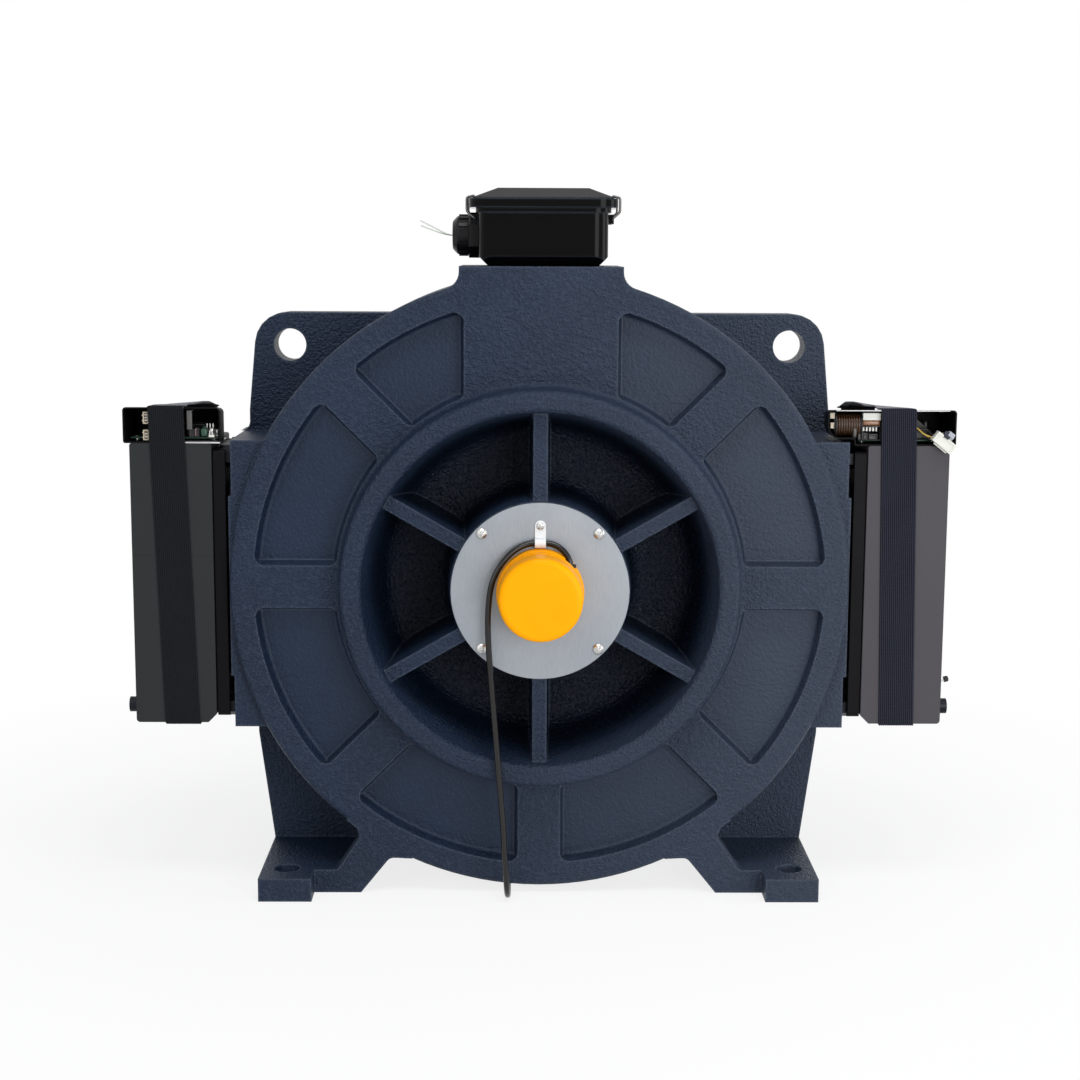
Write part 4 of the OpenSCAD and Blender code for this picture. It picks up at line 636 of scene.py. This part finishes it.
def strap(side):
    """A ribbed woven strap drawn tight round the magnet and loosely over its cover."""
    corners = STRAP_LOOPS[side]
    line = rounded_loop([corner[:3] for corner in corners])
    columns = STRAP_RIBS * RIB_POINTS + 1
    points, places = [], []
    run = 0
    for i, ((spot, out), middle) in enumerate(zip(line, strap_middles(line, corners))):
        away = Vector((0, out.x, out.y))
        tilt = roof_tilt(side, spot)
        for skin in ("outer", "inner"):
            for c in range(columns):
                u = c / (columns - 1)
                rib = abs(math.sin(math.pi * u * STRAP_RIBS)) ** 0.7
                lift = STRAP_THICK - RIB_DEPTH * (1 - rib) if skin == "outer" else 0
                point = Vector((middle + (u - 0.5) * STRAP_W, spot.x, spot.y + tilt * (0.5 - u)))
                points.append((point + away * lift) * MM)
                places.append((u * STRAP_W * MM, run * MM))
        run += (line[(i + 1) % len(line)][0] - spot).length
    mesh = bpy.data.meshes.new(side + "_webbing")
    mesh.from_pydata(points, [], strap_faces(len(line), columns))
    layer = mesh.uv_layers.new(name="along")
    for loop in mesh.loops:
        layer.data[loop.index].uv = places[loop.vertex_index]
    outward = bmesh.new()
    outward.from_mesh(mesh)
    bmesh.ops.recalc_face_normals(outward, faces=outward.faces)
    outward.to_mesh(mesh)
    outward.free()
    mesh.shade_smooth()
    piece = bpy.data.objects.new(side + "_webbing", mesh)
    bpy.context.scene.collection.objects.link(piece)
    paint(piece, "strap_webbing")
    mesh.materials.append(FINISHES["satin_tape"])
    for face in mesh.polygons:
        middle = face.center / MM
        if middle.z > COVER_TOP_Z - 0.5 and -90 < middle.y < ROOF_BACK_Y:
            face.material_index = 1
    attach(piece, "frame")
    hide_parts(side + "_strap")


strap("left")
strap("right")


# ---- modelling ----

def take(piece):
    deselect()
    piece.select_set(True)
    bpy.context.view_layer.objects.active = piece


@contextmanager
def shaping(piece):
    """Edit mode on one piece, with nothing selected."""
    take(piece)
    bpy.ops.object.mode_set(mode="EDIT")
    bpy.ops.mesh.select_mode(type="FACE")
    bpy.ops.mesh.select_all(action="DESELECT")
    yield
    bpy.ops.object.mode_set(mode="OBJECT")


def pick(piece, test):
    """Selects the faces whose middle, in millimetres, and normal pass the test."""
    mesh = bmesh.from_edit_mesh(piece.data)
    bpy.ops.mesh.select_all(action="DESELECT")
    for face in mesh.faces:
        face.select_set(test(face.calc_center_median() / MM, face.normal))
    bmesh.update_edit_mesh(piece.data)


def pick_corners(piece, test):
    """Selects the corners whose place, in millimetres, passes the test."""
    bpy.ops.mesh.select_mode(type="VERT")
    bpy.ops.mesh.select_all(action="DESELECT")
    mesh = bmesh.from_edit_mesh(piece.data)
    for corner in mesh.verts:
        corner.select_set(test(corner.co / MM))
    bmesh.update_edit_mesh(piece.data)


def inset(border):
    bpy.ops.mesh.inset(thickness=border * MM, use_even_offset=True)


def pull(x=0, y=0, z=0):
    bpy.ops.mesh.extrude_region_move(TRANSFORM_OT_translate={"value": (x * MM, y * MM, z * MM)})


def pick_side(piece, side):
    """Selects the faces that look to one side, such as "-y"."""
    axis, sign = "xyz".index(side[1]), float(side[0] + "1")
    pick(piece, lambda at, way: way[axis] * sign > 0.9)


def sink(piece, side, border, depth):
    """Leaves a border round the faces on one side and sinks the rest, or raises it where depth < 0."""
    pick_side(piece, side)
    inset(border)
    pull(**{side[1]: depth * (-1 if side[0] == "+" else 1)})


def cut(place, normal, **keeping):
    """Cuts the whole mesh along a plane, through a place in millimetres."""
    bpy.ops.mesh.select_all(action="SELECT")
    bpy.ops.mesh.bisect(plane_co=Vector(place) * MM, plane_no=normal, **keeping)


def block(low, high):
    """A box between two corners, in millimetres."""
    low, high = Vector(low) * MM, Vector(high) * MM
    deselect()
    bpy.ops.mesh.primitive_cube_add(size=1, location=(low + high) / 2, scale=high - low)
    bpy.ops.object.transform_apply(location=True, rotation=True, scale=True)
    return bpy.context.object


def rod(middle, radius, length, sides, axis="Z"):
    """A bar with so many sides about its middle, in millimetres."""
    turn = {"X": (0, math.pi / 2, 0), "Z": (0, 0, 0)}[axis]
    deselect()
    bpy.ops.mesh.primitive_cylinder_add(vertices=sides, radius=radius * MM, depth=length * MM,
                                        location=Vector(middle) * MM, rotation=turn)
    bpy.ops.object.transform_apply(location=True, rotation=True, scale=True)
    return bpy.context.object


def soften(piece, width, steps=2):
    """Rounds a piece's edges and smooths its faces."""
    take(piece)
    bevel = piece.modifiers.new("round", "BEVEL")
    bevel.width = width * MM
    bevel.segments = steps
    bevel.limit_method = "ANGLE"
    bevel.angle_limit = math.radians(35)
    bpy.ops.object.modifier_apply(modifier=bevel.name)
    bpy.ops.object.shade_smooth_by_angle(angle=math.radians(40))
    return piece


def row_of(piece, count, pitch):
    """The piece and its copies in one row along x, each copied with its own mesh."""
    copies = [piece]
    for i in range(1, count):
        take(piece)
        bpy.ops.object.duplicate()
        bpy.ops.transform.translate(value=(i * pitch * MM, 0, 0))
        bpy.ops.object.transform_apply(location=True, rotation=True, scale=True)
        copies.append(bpy.context.object)
    return join(copies)


def join(pieces):
    take(pieces[0])
    for piece in pieces:
        piece.select_set(True)
    bpy.ops.object.join()
    return pieces[0]


def turned(piece, degrees, about):
    """The piece turned in place round the y axis through a point given in millimetres."""
    about = Matrix.Translation(about * MM)
    take(piece)
    piece.matrix_world = about @ Matrix.Rotation(math.radians(degrees), 4, "Y") @ about.inverted()
    bpy.ops.object.transform_apply(location=True, rotation=True, scale=True)
    return piece


def finished(piece, name, finish):
    """Names a fixed piece and gives it its finish, slot and body."""
    piece.name = piece.data.name = name
    paint(piece, finish)
    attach(piece, "frame")
    return piece


# ---- the brakes' circuit boards ----

LEG_R = 0.35
SPACER_R = 2.6
CRIMP_Z = BOARD_TOP + 1.3


def relay(low, high):
    """A moulded case with a sunk panel on top and a vent slot in its front."""
    case = block(low, high)
    with shaping(case):
        sink(case, "+z", 0.6, 0.3)
        sink(case, "-y", 0.7, 0.25)
    return soften(case, 0.25)


def film_capacitor(low, high):
    """A dipped box capacitor: all its edges are well rounded, on two legs."""
    body = soften(block(low, high), min(h - l for l, h in zip(low, high)) * 0.3, 4)
    middle = (Vector(low) + Vector(high)) / 2
    spread = (high[0] - low[0]) * 0.3
    legs = [rod((middle.x + x, middle.y, low[2] - 0.6), LEG_R, 1.6, 8) for x in (-spread, spread)]
    return join([body] + legs)


def disc_capacitor(middle, radius, thick, foot_z):
    """A round lentil that faces sideways, on two legs."""
    body = rod(middle, radius, thick, 28, "X")
    with shaping(body):
        pick(body, lambda at, way: abs(way.x) > 0.9)
        inset(radius * 0.45)
        bpy.ops.transform.resize(value=(1.35, 1, 1), center_override=Vector(middle) * MM)
    soften(body, thick * 0.3, 3)
    x, y, z = middle
    low_z = z - radius
    legs = [rod((x, y + side * 1.8, (low_z + foot_z) / 2 + 0.4), LEG_R, low_z - foot_z + 1.6, 8)
            for side in (-1, 1)]
    return join([body] + legs)


def can_capacitor(x, y, radius, tall):
    """An electrolytic can on a board, with a crimped foot and a sunk lid."""
    can = rod((x, y, BOARD_TOP + tall / 2), radius, tall, 28)
    with shaping(can):
        sink(can, "+z", radius * 0.2, 0.35)
        for z in (CRIMP_Z - 0.5, CRIMP_Z, CRIMP_Z + 0.5):
            cut((0, 0, z), (0, 0, 1))
        pick_corners(can, lambda at: abs(at.z - CRIMP_Z) < 0.1)
        bpy.ops.transform.resize(value=(0.86, 0.86, 1), center_override=(x * MM, y * MM, 0))
    return soften(can, 0.2)


def pin_row(x, y, foot_z, ways, pitch, tall, thick=0.7):
    """Upright square pins with pointed tips."""
    half = thick / 2
    pin = block((x - half, y - half, foot_z), (x + half, y + half, foot_z + tall))
    with shaping(pin):
        pick_side(pin, "+z")
        pull(z=0.5)
        bpy.ops.transform.resize(value=(0.5, 0.5, 1))
    return row_of(pin, ways, pitch)


def socket_housing(low, high, wall=0.8, deep=4):
    """A connector housing, open towards the front."""
    case = block(low, high)
    with shaping(case):
        sink(case, "-y", wall, deep)
    return soften(case, 0.2)


def circuit_board(left_x, right_x, holes):
    """A board's sheet, and the tin rings round its fixing holes."""
    sheet = soften(block((left_x, BOARD_FRONT_Y, BOARD_LOW), (right_x, BOARD_BACK_Y, BOARD_TOP)), 0.25)
    rings = []
    for x, y in holes:
        ring = rod((x, y, BOARD_TOP), SPACER_R, 0.3, 20)
        with shaping(ring):
            sink(ring, "+z", 0.8, 0.12)
        rings.append(ring)
    return sheet, join(rings)


def spacers(side, places):
    """The nuts that hold a board off its cover's floor."""
    middle_z = (FLOOR_Z + BOARD_LOW) / 2
    feet = [rod((x, y, middle_z), SPACER_R, BOARD_LOW - FLOOR_Z, 6) for x, y in places]
    finished(join([soften(foot, 0.15) for foot in feet]), side + "_spacers", "tin")


# The moulded cases on each board, from corner to corner
LEFT_CASES = (
    ((-292.8, -90, BOARD_TOP), (-288.2, -80, 396.4)), ((-286.4, -91, BOARD_TOP), (-284.2, -83, 397.4)),
    ((-322, -86, BOARD_TOP), (-300, -70, 400)), ((-297, -76, BOARD_TOP), (-281, -62, 399.4)),
    ((-318, -60, BOARD_TOP), (-290, -44, 398)))
RIGHT_CASES = (
    ((265.6, -90.5, BOARD_TOP), (268.4, -84, 397)), ((270, -91, BOARD_TOP), (273.4, -85, 395.4)),
    ((274.6, -90, BOARD_TOP), (282, -80, 394.6)), ((284, -88, BOARD_TOP), (306, -66, 399)),
    ((309, -80, BOARD_TOP), (326, -60, 398)), ((272, -58, BOARD_TOP), (300, -42, 398)))


def left_board():
    """The left brake's board, with one corner cut off, on its spacers."""
    holes = [(-338, -80), (-338, -42), (-273, -80), (-284, -42)]
    sheet, rings = circuit_board(-342, -268.5, holes)
    with shaping(sheet):
        cut((-268.8, -77, 0), (0.956, 0.296, 0), clear_outer=True, use_fill=True)
    finished(sheet, "left_board", "board_green")
    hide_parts("left_circuit_board")
    finished(rings, "left_board_rings", "tin")
    spacers("left", holes)


def left_plugs():
    """Two stacked plugs outside the strap, on a small upright board."""
    upright = block((-325.6, -91, FLOOR_Z), (-324.2, -62, 411))
    with shaping(upright):
        sink(upright, "-x", 1.2, -0.15)
    finished(soften(upright, 0.2), "left_upright_board", "relay_black")
    plugs = [socket_housing((-330.4, -93.4, z), (-325.7, -82, z + tall))
             for z, tall in ((401, 10), (387.3, 8.6))]
    ribs = [soften(block((-331.2, -92.6, z), (-330.2, -84, z + 1.2)), 0.15)
            for z in (403, 407.6, 389, 393.2)]
    finished(join(plugs + ribs), "left_plugs", "plug_cream")
    blades = [soften(block((-329.2, -92, z), (-327, -89.4, z + 0.8)), 0.1)
              for z in (403.4, 405.8, 408.2, 389.6, 392.4)]
    finished(join(blades), "left_plug_blades", "tin")


def left_tab():
    """A thin upright tab whose head is folded back."""
    tab = block((-294, -93.2, 396.4), (-289.6, -92.2, 412.4))
    fold_z = 411.4
    with shaping(tab):
        cut((0, 0, fold_z), (0, 0, 1))
        pick(tab, lambda at, way: way.y > 0.9 and at.z > fold_z)
        pull(y=9)
    finished(soften(tab, 0.25), "left_tab", "tab_grey")


def left_small_parts():
    """The parts that show between the strap and the board's inner end."""
    finished(join([relay(*corners) for corners in LEFT_CASES]), "left_relays", "relay_black")
    pink = film_capacitor((-287.7, -90, BOARD_TOP + 0.8), (-286.7, -82, 397))
    finished(pink, "left_pink_film", "pink_film")
    films = [film_capacitor((-283.4, -90.5, BOARD_TOP + 0.6), (-277.6, -83.5, 397.2)),
             film_capacitor((-284, -80, BOARD_TOP + 0.6), (-279.4, -70, 398.4))]
    finished(join(films), "left_film_capacitors", "film_green")
    header = socket_housing((-280.4, -82.6, BOARD_TOP), (-272.6, -78, 395.6), 0.7, 2)
    white = soften(block((-276.4, -91.6, BOARD_TOP), (-271.6, -88, 391.8)), 0.4)
    finished(join([header, white]), "left_headers", "ceramic_white")
    pins = [pin_row(-279.2, -80.4, 395, 3, 2.5, 5.2, 0.9), pin_row(-275.6, -90.6, 391.6, 2, 2.2, 3.4)]
    finished(join(pins), "left_pins", "tin")
    cans = [can_capacitor(-274.6, -85, 2.3, 6.8), can_capacitor(-270.9, -80.6, 2.1, 5.8)]
    finished(join(cans), "left_cans", "tin")
    finished(can_capacitor(-274.6, -74, 3.4, 9), "left_dark_can", "relay_black")


def right_board():
    """The right brake's board on its spacers."""
    holes = [(x, y) for x in (270, 336) for y in (-80, -42)]
    sheet, rings = circuit_board(266, 341, holes)
    finished(sheet, "right_board", "board_green")
    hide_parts("right_circuit_board")
    finished(rings, "right_board_rings", "tin")
    spacers("right", holes)


def right_upper_board():
    """A small board on posts, with a ceramic resistor over a film capacitor at its front."""
    low_z = 400.4
    resistor = block((269.3, -92, 406.2), (284, -82, 412.2))
    with shaping(resistor):
        sink(resistor, "-y", 0.9, 0.3)
    finished(soften(resistor, 0.5, 3), "right_ceramic_resistor", "ceramic_white")
    finished(film_capacitor((269, -91.6, 401.8), (284, -81, 406)), "right_film_capacitor", "film_brown")
    carrier = block((266, -91, low_z), (300, -60, low_z + 1.2))
    with shaping(carrier):
        sink(carrier, "-z", 2, -0.2)
    finished(soften(carrier, 0.2), "right_upper_board", "relay_black")
    posts = [rod((x, y, (BOARD_TOP + low_z) / 2), 1.6, low_z - BOARD_TOP, 6)
             for x in (297, 268.5) for y in (-87, -63)]
    finished(join([soften(post, 0.15) for post in posts]), "right_posts", "tin")


def right_small_parts():
    """The parts that show between the choke and the strap."""
    pins = [pin_row(270, -89.6, 396.9, 5, 2.7, 3.3, 1.1), pin_row(271.2, -86.4, 396.9, 4, 2.7, 3.3, 1.1)]
    finished(join(pins), "right_pins", "ceramic_white")
    finished(disc_capacitor((262.4, -90, 396), 4.9, 2.2, FLOOR_Z + 1), "right_disc_capacitor", "tab_grey")
    finished(join([relay(*corners) for corners in RIGHT_CASES]), "right_relays", "relay_black")
    cans = [can_capacitor(269.3, -90, 1.5, 6.4), can_capacitor(330, -50, 4, 12)]
    finished(join(cans), "right_cans", "relay_black")


CHOKE_LEFT_X, CHOKE_RIGHT_X = 246.2, 267.2
CHOKE_Y, CHOKE_Z = -84.6, 402
CHOKE_CORE_R = 8
CHOKE_PITCH = 2.1
CHOKE_WIRE_R = 1.02


def choke():
    """A choke lying across the cover's inner end: a bobbin with one close layer of wire."""
    long = CHOKE_RIGHT_X - CHOKE_LEFT_X
    core = rod((CHOKE_LEFT_X + long / 2, CHOKE_Y, CHOKE_Z), CHOKE_CORE_R, long, 32, "X")
    with shaping(core):
        for side, sign in (("-x", -1), ("+x", 1)):
            pick_side(core, side)
            pull(x=sign * 0.4)
            bpy.ops.transform.resize(value=(1, 1.19, 1.19))
            pull(x=sign * 0.9)
    finished(soften(core, 0.25), "right_choke_core", "relay_black")
    deselect()
    middle = Vector((CHOKE_LEFT_X + CHOKE_PITCH / 2, CHOKE_Y, CHOKE_Z))
    bpy.ops.mesh.primitive_torus_add(
        major_radius=(CHOKE_CORE_R + 0.5) * MM, minor_radius=CHOKE_WIRE_R * MM,
        major_segments=36, minor_segments=10, rotation=(0, math.pi / 2, 0), location=middle * MM)
    bpy.ops.object.transform_apply(location=True, rotation=True, scale=True)
    turn = bpy.context.object
    turn.data.shade_smooth()
    finished(row_of(turn, int(long / CHOKE_PITCH), CHOKE_PITCH), "right_choke_winding", "winding_brown")
    tabs = []
    for low_x, foot_z in ((241.4, 407.6), (242, 399.4)):
        tab = block((low_x, -93, foot_z), (245.2, -86, foot_z + 4.8))
        with shaping(tab):
            sink(tab, "-y", 0.7, 0.4)
        tabs.append(soften(tab, 0.4, 3))
    finished(join(tabs), "right_choke_tabs", "plug_cream")


left_board()
left_plugs()
left_tab()
left_small_parts()
right_board()
choke()
right_upper_board()
right_small_parts()


# ---- small pieces on the brakes ----

def loose_plug():
    """The white plug that hangs over the right magnet's front corner, with a boot in its side."""
    middle = Vector((335.4, -99.5, 388.6))
    case = block(middle - Vector((9.6, 4.4, 4.6)), middle + Vector((9.6, 4.4, 4.6)))
    with shaping(case):
        sink(case, "+x", 1, 2)
        sink(case, "-z", 1.4, -0.5)
        sink(case, "-y", 1.5, 0.35)
    latch = block(middle + Vector((-6, -1.6, 4.4)), middle + Vector((1.5, 1.6, 5.6)))
    plug = turned(join([soften(case, 0.5, 3), soften(latch, 0.3)]), 39, middle)
    finished(plug, "right_loose_plug", "plug_white")
    at = Vector((337.6, -101.5, 394.6))
    collar = rod(at + Vector((2.6, 0.6, 0.8)), 4.3, 5.5, 6, "X")
    with shaping(collar):
        pick(collar, lambda at, way: abs(way.x) > 0.9)
        inset(0.8)
        pull(x=-0.3)
    finished(turned(soften(collar, 0.5, 3), 36, at), "right_plug_collar", "boot_grey")
    boot = rod(at, 3.9, 5, 6, "X")
    with shaping(boot):
        sink(boot, "-x", 0.9, -0.8)
    finished(turned(soften(boot, 0.5, 3), 36, at), "right_plug_boot", "boot_blue")
    return plug


def lead_screen():
    """The slanting insulating flap behind the loose plug's leads."""
    flap = block((311, -74, 389.8), (334, -73.2, 412))
    with shaping(flap):
        cut((324.5, 0, 400), (0.66, 0, 0.75), clear_outer=True, use_fill=True)
    finished(soften(flap, 0.15), "right_flap", "fish_paper")


def capped_stem():
    """A short white stem with a rubber cap in the right magnet's outer face."""
    at = Vector((342, -89, 182))
    stem = rod(at + Vector((1.8, 0, 0.6)), 0.9, 5.4, 16, "X")
    with shaping(stem):
        sink(stem, "+x", 0.25, -0.8)
    finished(turned(soften(stem, 0.15), -14, at), "right_stem", "white_nylon")
    cap = rod(at + Vector((5.6, 0, 1.6)), 2.5, 3.4, 24, "X")
    with shaping(cap):
        sink(cap, "+x", 0.8, -0.5)
        sink(cap, "-x", 1.2, 0.6)
    finished(turned(soften(cap, 0.7, 4), -14, at), "right_stem_cap", "black_rubber")


def round_edge(piece, x, z, radius):
    """Rounds the edge that runs from front to back at x, z."""
    bpy.ops.mesh.select_mode(type="EDGE")
    bpy.ops.mesh.select_all(action="DESELECT")
    mesh = bmesh.from_edit_mesh(piece.data)
    for edge in mesh.edges:
        ends = [corner.co / MM for corner in edge.verts]
        edge.select_set(all(abs(end.x - x) < 0.2 and abs(end.z - z) < 0.2 for end in ends))
    bmesh.update_edit_mesh(piece.data)
    bpy.ops.mesh.bevel(offset=radius * MM, segments=6, affect="EDGES")
    bpy.ops.mesh.select_mode(type="FACE")


def shift_back(piece, test, x=0, z=0):
    """Moves the corners at a cover's back that pass the test."""
    pick_corners(piece, lambda at: at.y > -60 and test(at))
    bpy.ops.transform.translate(value=(x * MM, 0, z * MM))
    bpy.ops.mesh.select_mode(type="FACE")


def cover(side, outer_x, inner_x, closes, step=None):
    """A cover of bent sheet, open to the front: its roof falls and its inner wall closes in behind.
    Where a step is given, as a place and a height, the floor rises there towards the inner wall."""
    left_x, right_x = sorted((outer_x, inner_x))
    shell = block((left_x, COVER_FRONT_Y, COVER_FOOT_Z), (right_x, COVER_BACK_Y, COVER_TOP_Z))
    inner_foot_z = COVER_FOOT_Z
    with shaping(shell):
        if step:
            step_x, step_z = step
            for x in (step_x - 0.5, step_x + 0.5):
                cut((x, 0, 0), (1, 0, 0))
            pick(shell, lambda at, way: way.z < -0.9 and at.x < step_x - 0.6)
            bpy.ops.transform.translate(value=(0, 0, step_z * MM))
            inner_foot_z += step_z
        round_edge(shell, outer_x, COVER_TOP_Z, 3)
        round_edge(shell, inner_x, COVER_TOP_Z, 4)
        round_edge(shell, outer_x, COVER_FOOT_Z, 2)
        round_edge(shell, inner_x, inner_foot_z, 11 if step else 2)
        sink(shell, "-y", COVER_WALL, COVER_BACK_Y - COVER_FRONT_Y - COVER_WALL)
        shift_back(shell, lambda at: at.z > 403, z=-5)
        cut((0, -75, 0), (0, 1, 0))
        shift_back(shell, lambda at: abs(at.x - inner_x) < 14, x=closes)
        bpy.ops.mesh.select_all(action="SELECT")
        bpy.ops.mesh.normals_make_consistent(inside=False)
    take(shell)
    bpy.ops.object.shade_smooth_by_angle(angle=math.radians(35))
    finished(shell, side + "_bent_cover", "dark_paint")
    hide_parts(side + "_cover")


cover("left", -347, -266, -12)
cover("right", 347, 239.5, 10, (262, 5.5))


def cover_lips():
    """The bright sheared edges of the right cover's roof and the left cover's floor."""
    lip = block((246, -95.35, 413.9), (341, -94.9, 414.8))
    with shaping(lip):
        sink(lip, "-y", 0.12, -0.1)
    finished(soften(lip, 0.08), "right_cover_lip", "sheet_edge")
    strip = block((-300, COVER_FRONT_Y - 0.5, COVER_FOOT_Z), (-266.4, -60, FLOOR_Z))
    with shaping(strip):
        sink(strip, "-y", 0.15, -0.1)
    finished(soften(strip, 0.1), "left_floor_strip", "sheet_edge")


plug = loose_plug()
lead_screen()
capped_stem()
cover_lips()
for lead, line in leads.values():
    round(line_length(line), 4)


# ---- studio ----

BACKGROUND_RAYS = ("Is Camera Ray", "Is Glossy Ray", "Is Transmission Ray")
# Each lamp's place, what it looks at, its width and height, all in metres, and its watts
LAMPS = {
    "key": ((0.8, -1.7, 0.47), (0.2, 0, 0.3), (0.9, 0.9), 14),
    "side": ((2.0, -0.2, 0.7), (0, 0, 0.3), (0.8, 1.4), 14),
    "top": ((0.1, -0.9, 2.1), (0, 0, 0.25), (1.2, 0.6), 17),
    "fill": ((-1.6, -1.6, 1.2), (0, 0, 0.25), (1.0, 1.0), 6),
}


def pale_floor():
    """A pale floor that keeps the shadow near the machine and turns white away from it."""
    bpy.ops.mesh.primitive_plane_add(size=14, location=(0, 0, -0.0002))
    floor = bpy.context.object
    floor.name = "floor"
    f = Finish("pale_floor", color=(0.93, 0.93, 0.93), rough=0.7, specular=0.1)
    distance = f.vector_maths("LENGTH", f.place, output="Value")
    whiteness = f.node("MapRange", {}, {0: distance, 1: 0.4, 2: 0.85, 3: 0.8, 4: 1.0})
    glow = f.node("Emission", {}, {"Color": (1, 1, 1), "Strength": 1.0})
    path = f.node("LightPath").socket.node
    camera, glossy, passing = (Wire(f, path.outputs[ray]) for ray in BACKGROUND_RAYS)
    blend = f.node("MixShader", {}, {0: (camera + glossy + passing) * whiteness}).socket
    f.tree.links.new(f.surface.outputs[0], blend.node.inputs[1])
    f.tree.links.new(glow.socket, blend.node.inputs[2])
    f.tree.links.new(blend, f.out.inputs[0])
    floor.data.materials.append(f.material)


def white_room():
    """A world that is white to look at and softer and bluish as light."""
    world = bpy.data.worlds.new("studio")
    bpy.context.scene.world = world
    world.use_nodes = True
    tree = world.node_tree
    tree.nodes.clear()
    out, back, light, both, path, some, every = (tree.nodes.new("ShaderNode" + kind) for kind in (
        "OutputWorld", "Background", "Background", "MixShader", "LightPath", "Math", "Math"))
    back.inputs[0].default_value = (1, 1, 1, 1)
    light.inputs[0].default_value = (0.93, 0.96, 1.0, 1)
    light.inputs[1].default_value = 0.42
    camera, glossy, passing = (path.outputs[ray] for ray in BACKGROUND_RAYS)
    for source, target in ((camera, some.inputs[0]), (glossy, some.inputs[1]),
                           (some.outputs[0], every.inputs[0]), (passing, every.inputs[1]),
                           (every.outputs[0], both.inputs[0]), (light.outputs[0], both.inputs[1]),
                           (back.outputs[0], both.inputs[2]), (both.outputs[0], out.inputs[0])):
        tree.links.new(source, target)


def lamps():
    for name, (place, aim, size, watts) in LAMPS.items():
        lamp = bpy.data.lights.new(name, "AREA")
        lamp.shape = "RECTANGLE"
        lamp.size, lamp.size_y = size
        lamp.energy = watts
        light = bpy.data.objects.new(name, lamp)
        bpy.context.scene.collection.objects.link(light)
        light.location = place
        light.rotation_euler = (Vector(aim) - Vector(place)).to_track_quat("-Z", "Y").to_euler()


pale_floor()
white_room()
lamps()
bpy.context.scene.view_settings.view_transform = "Standard"
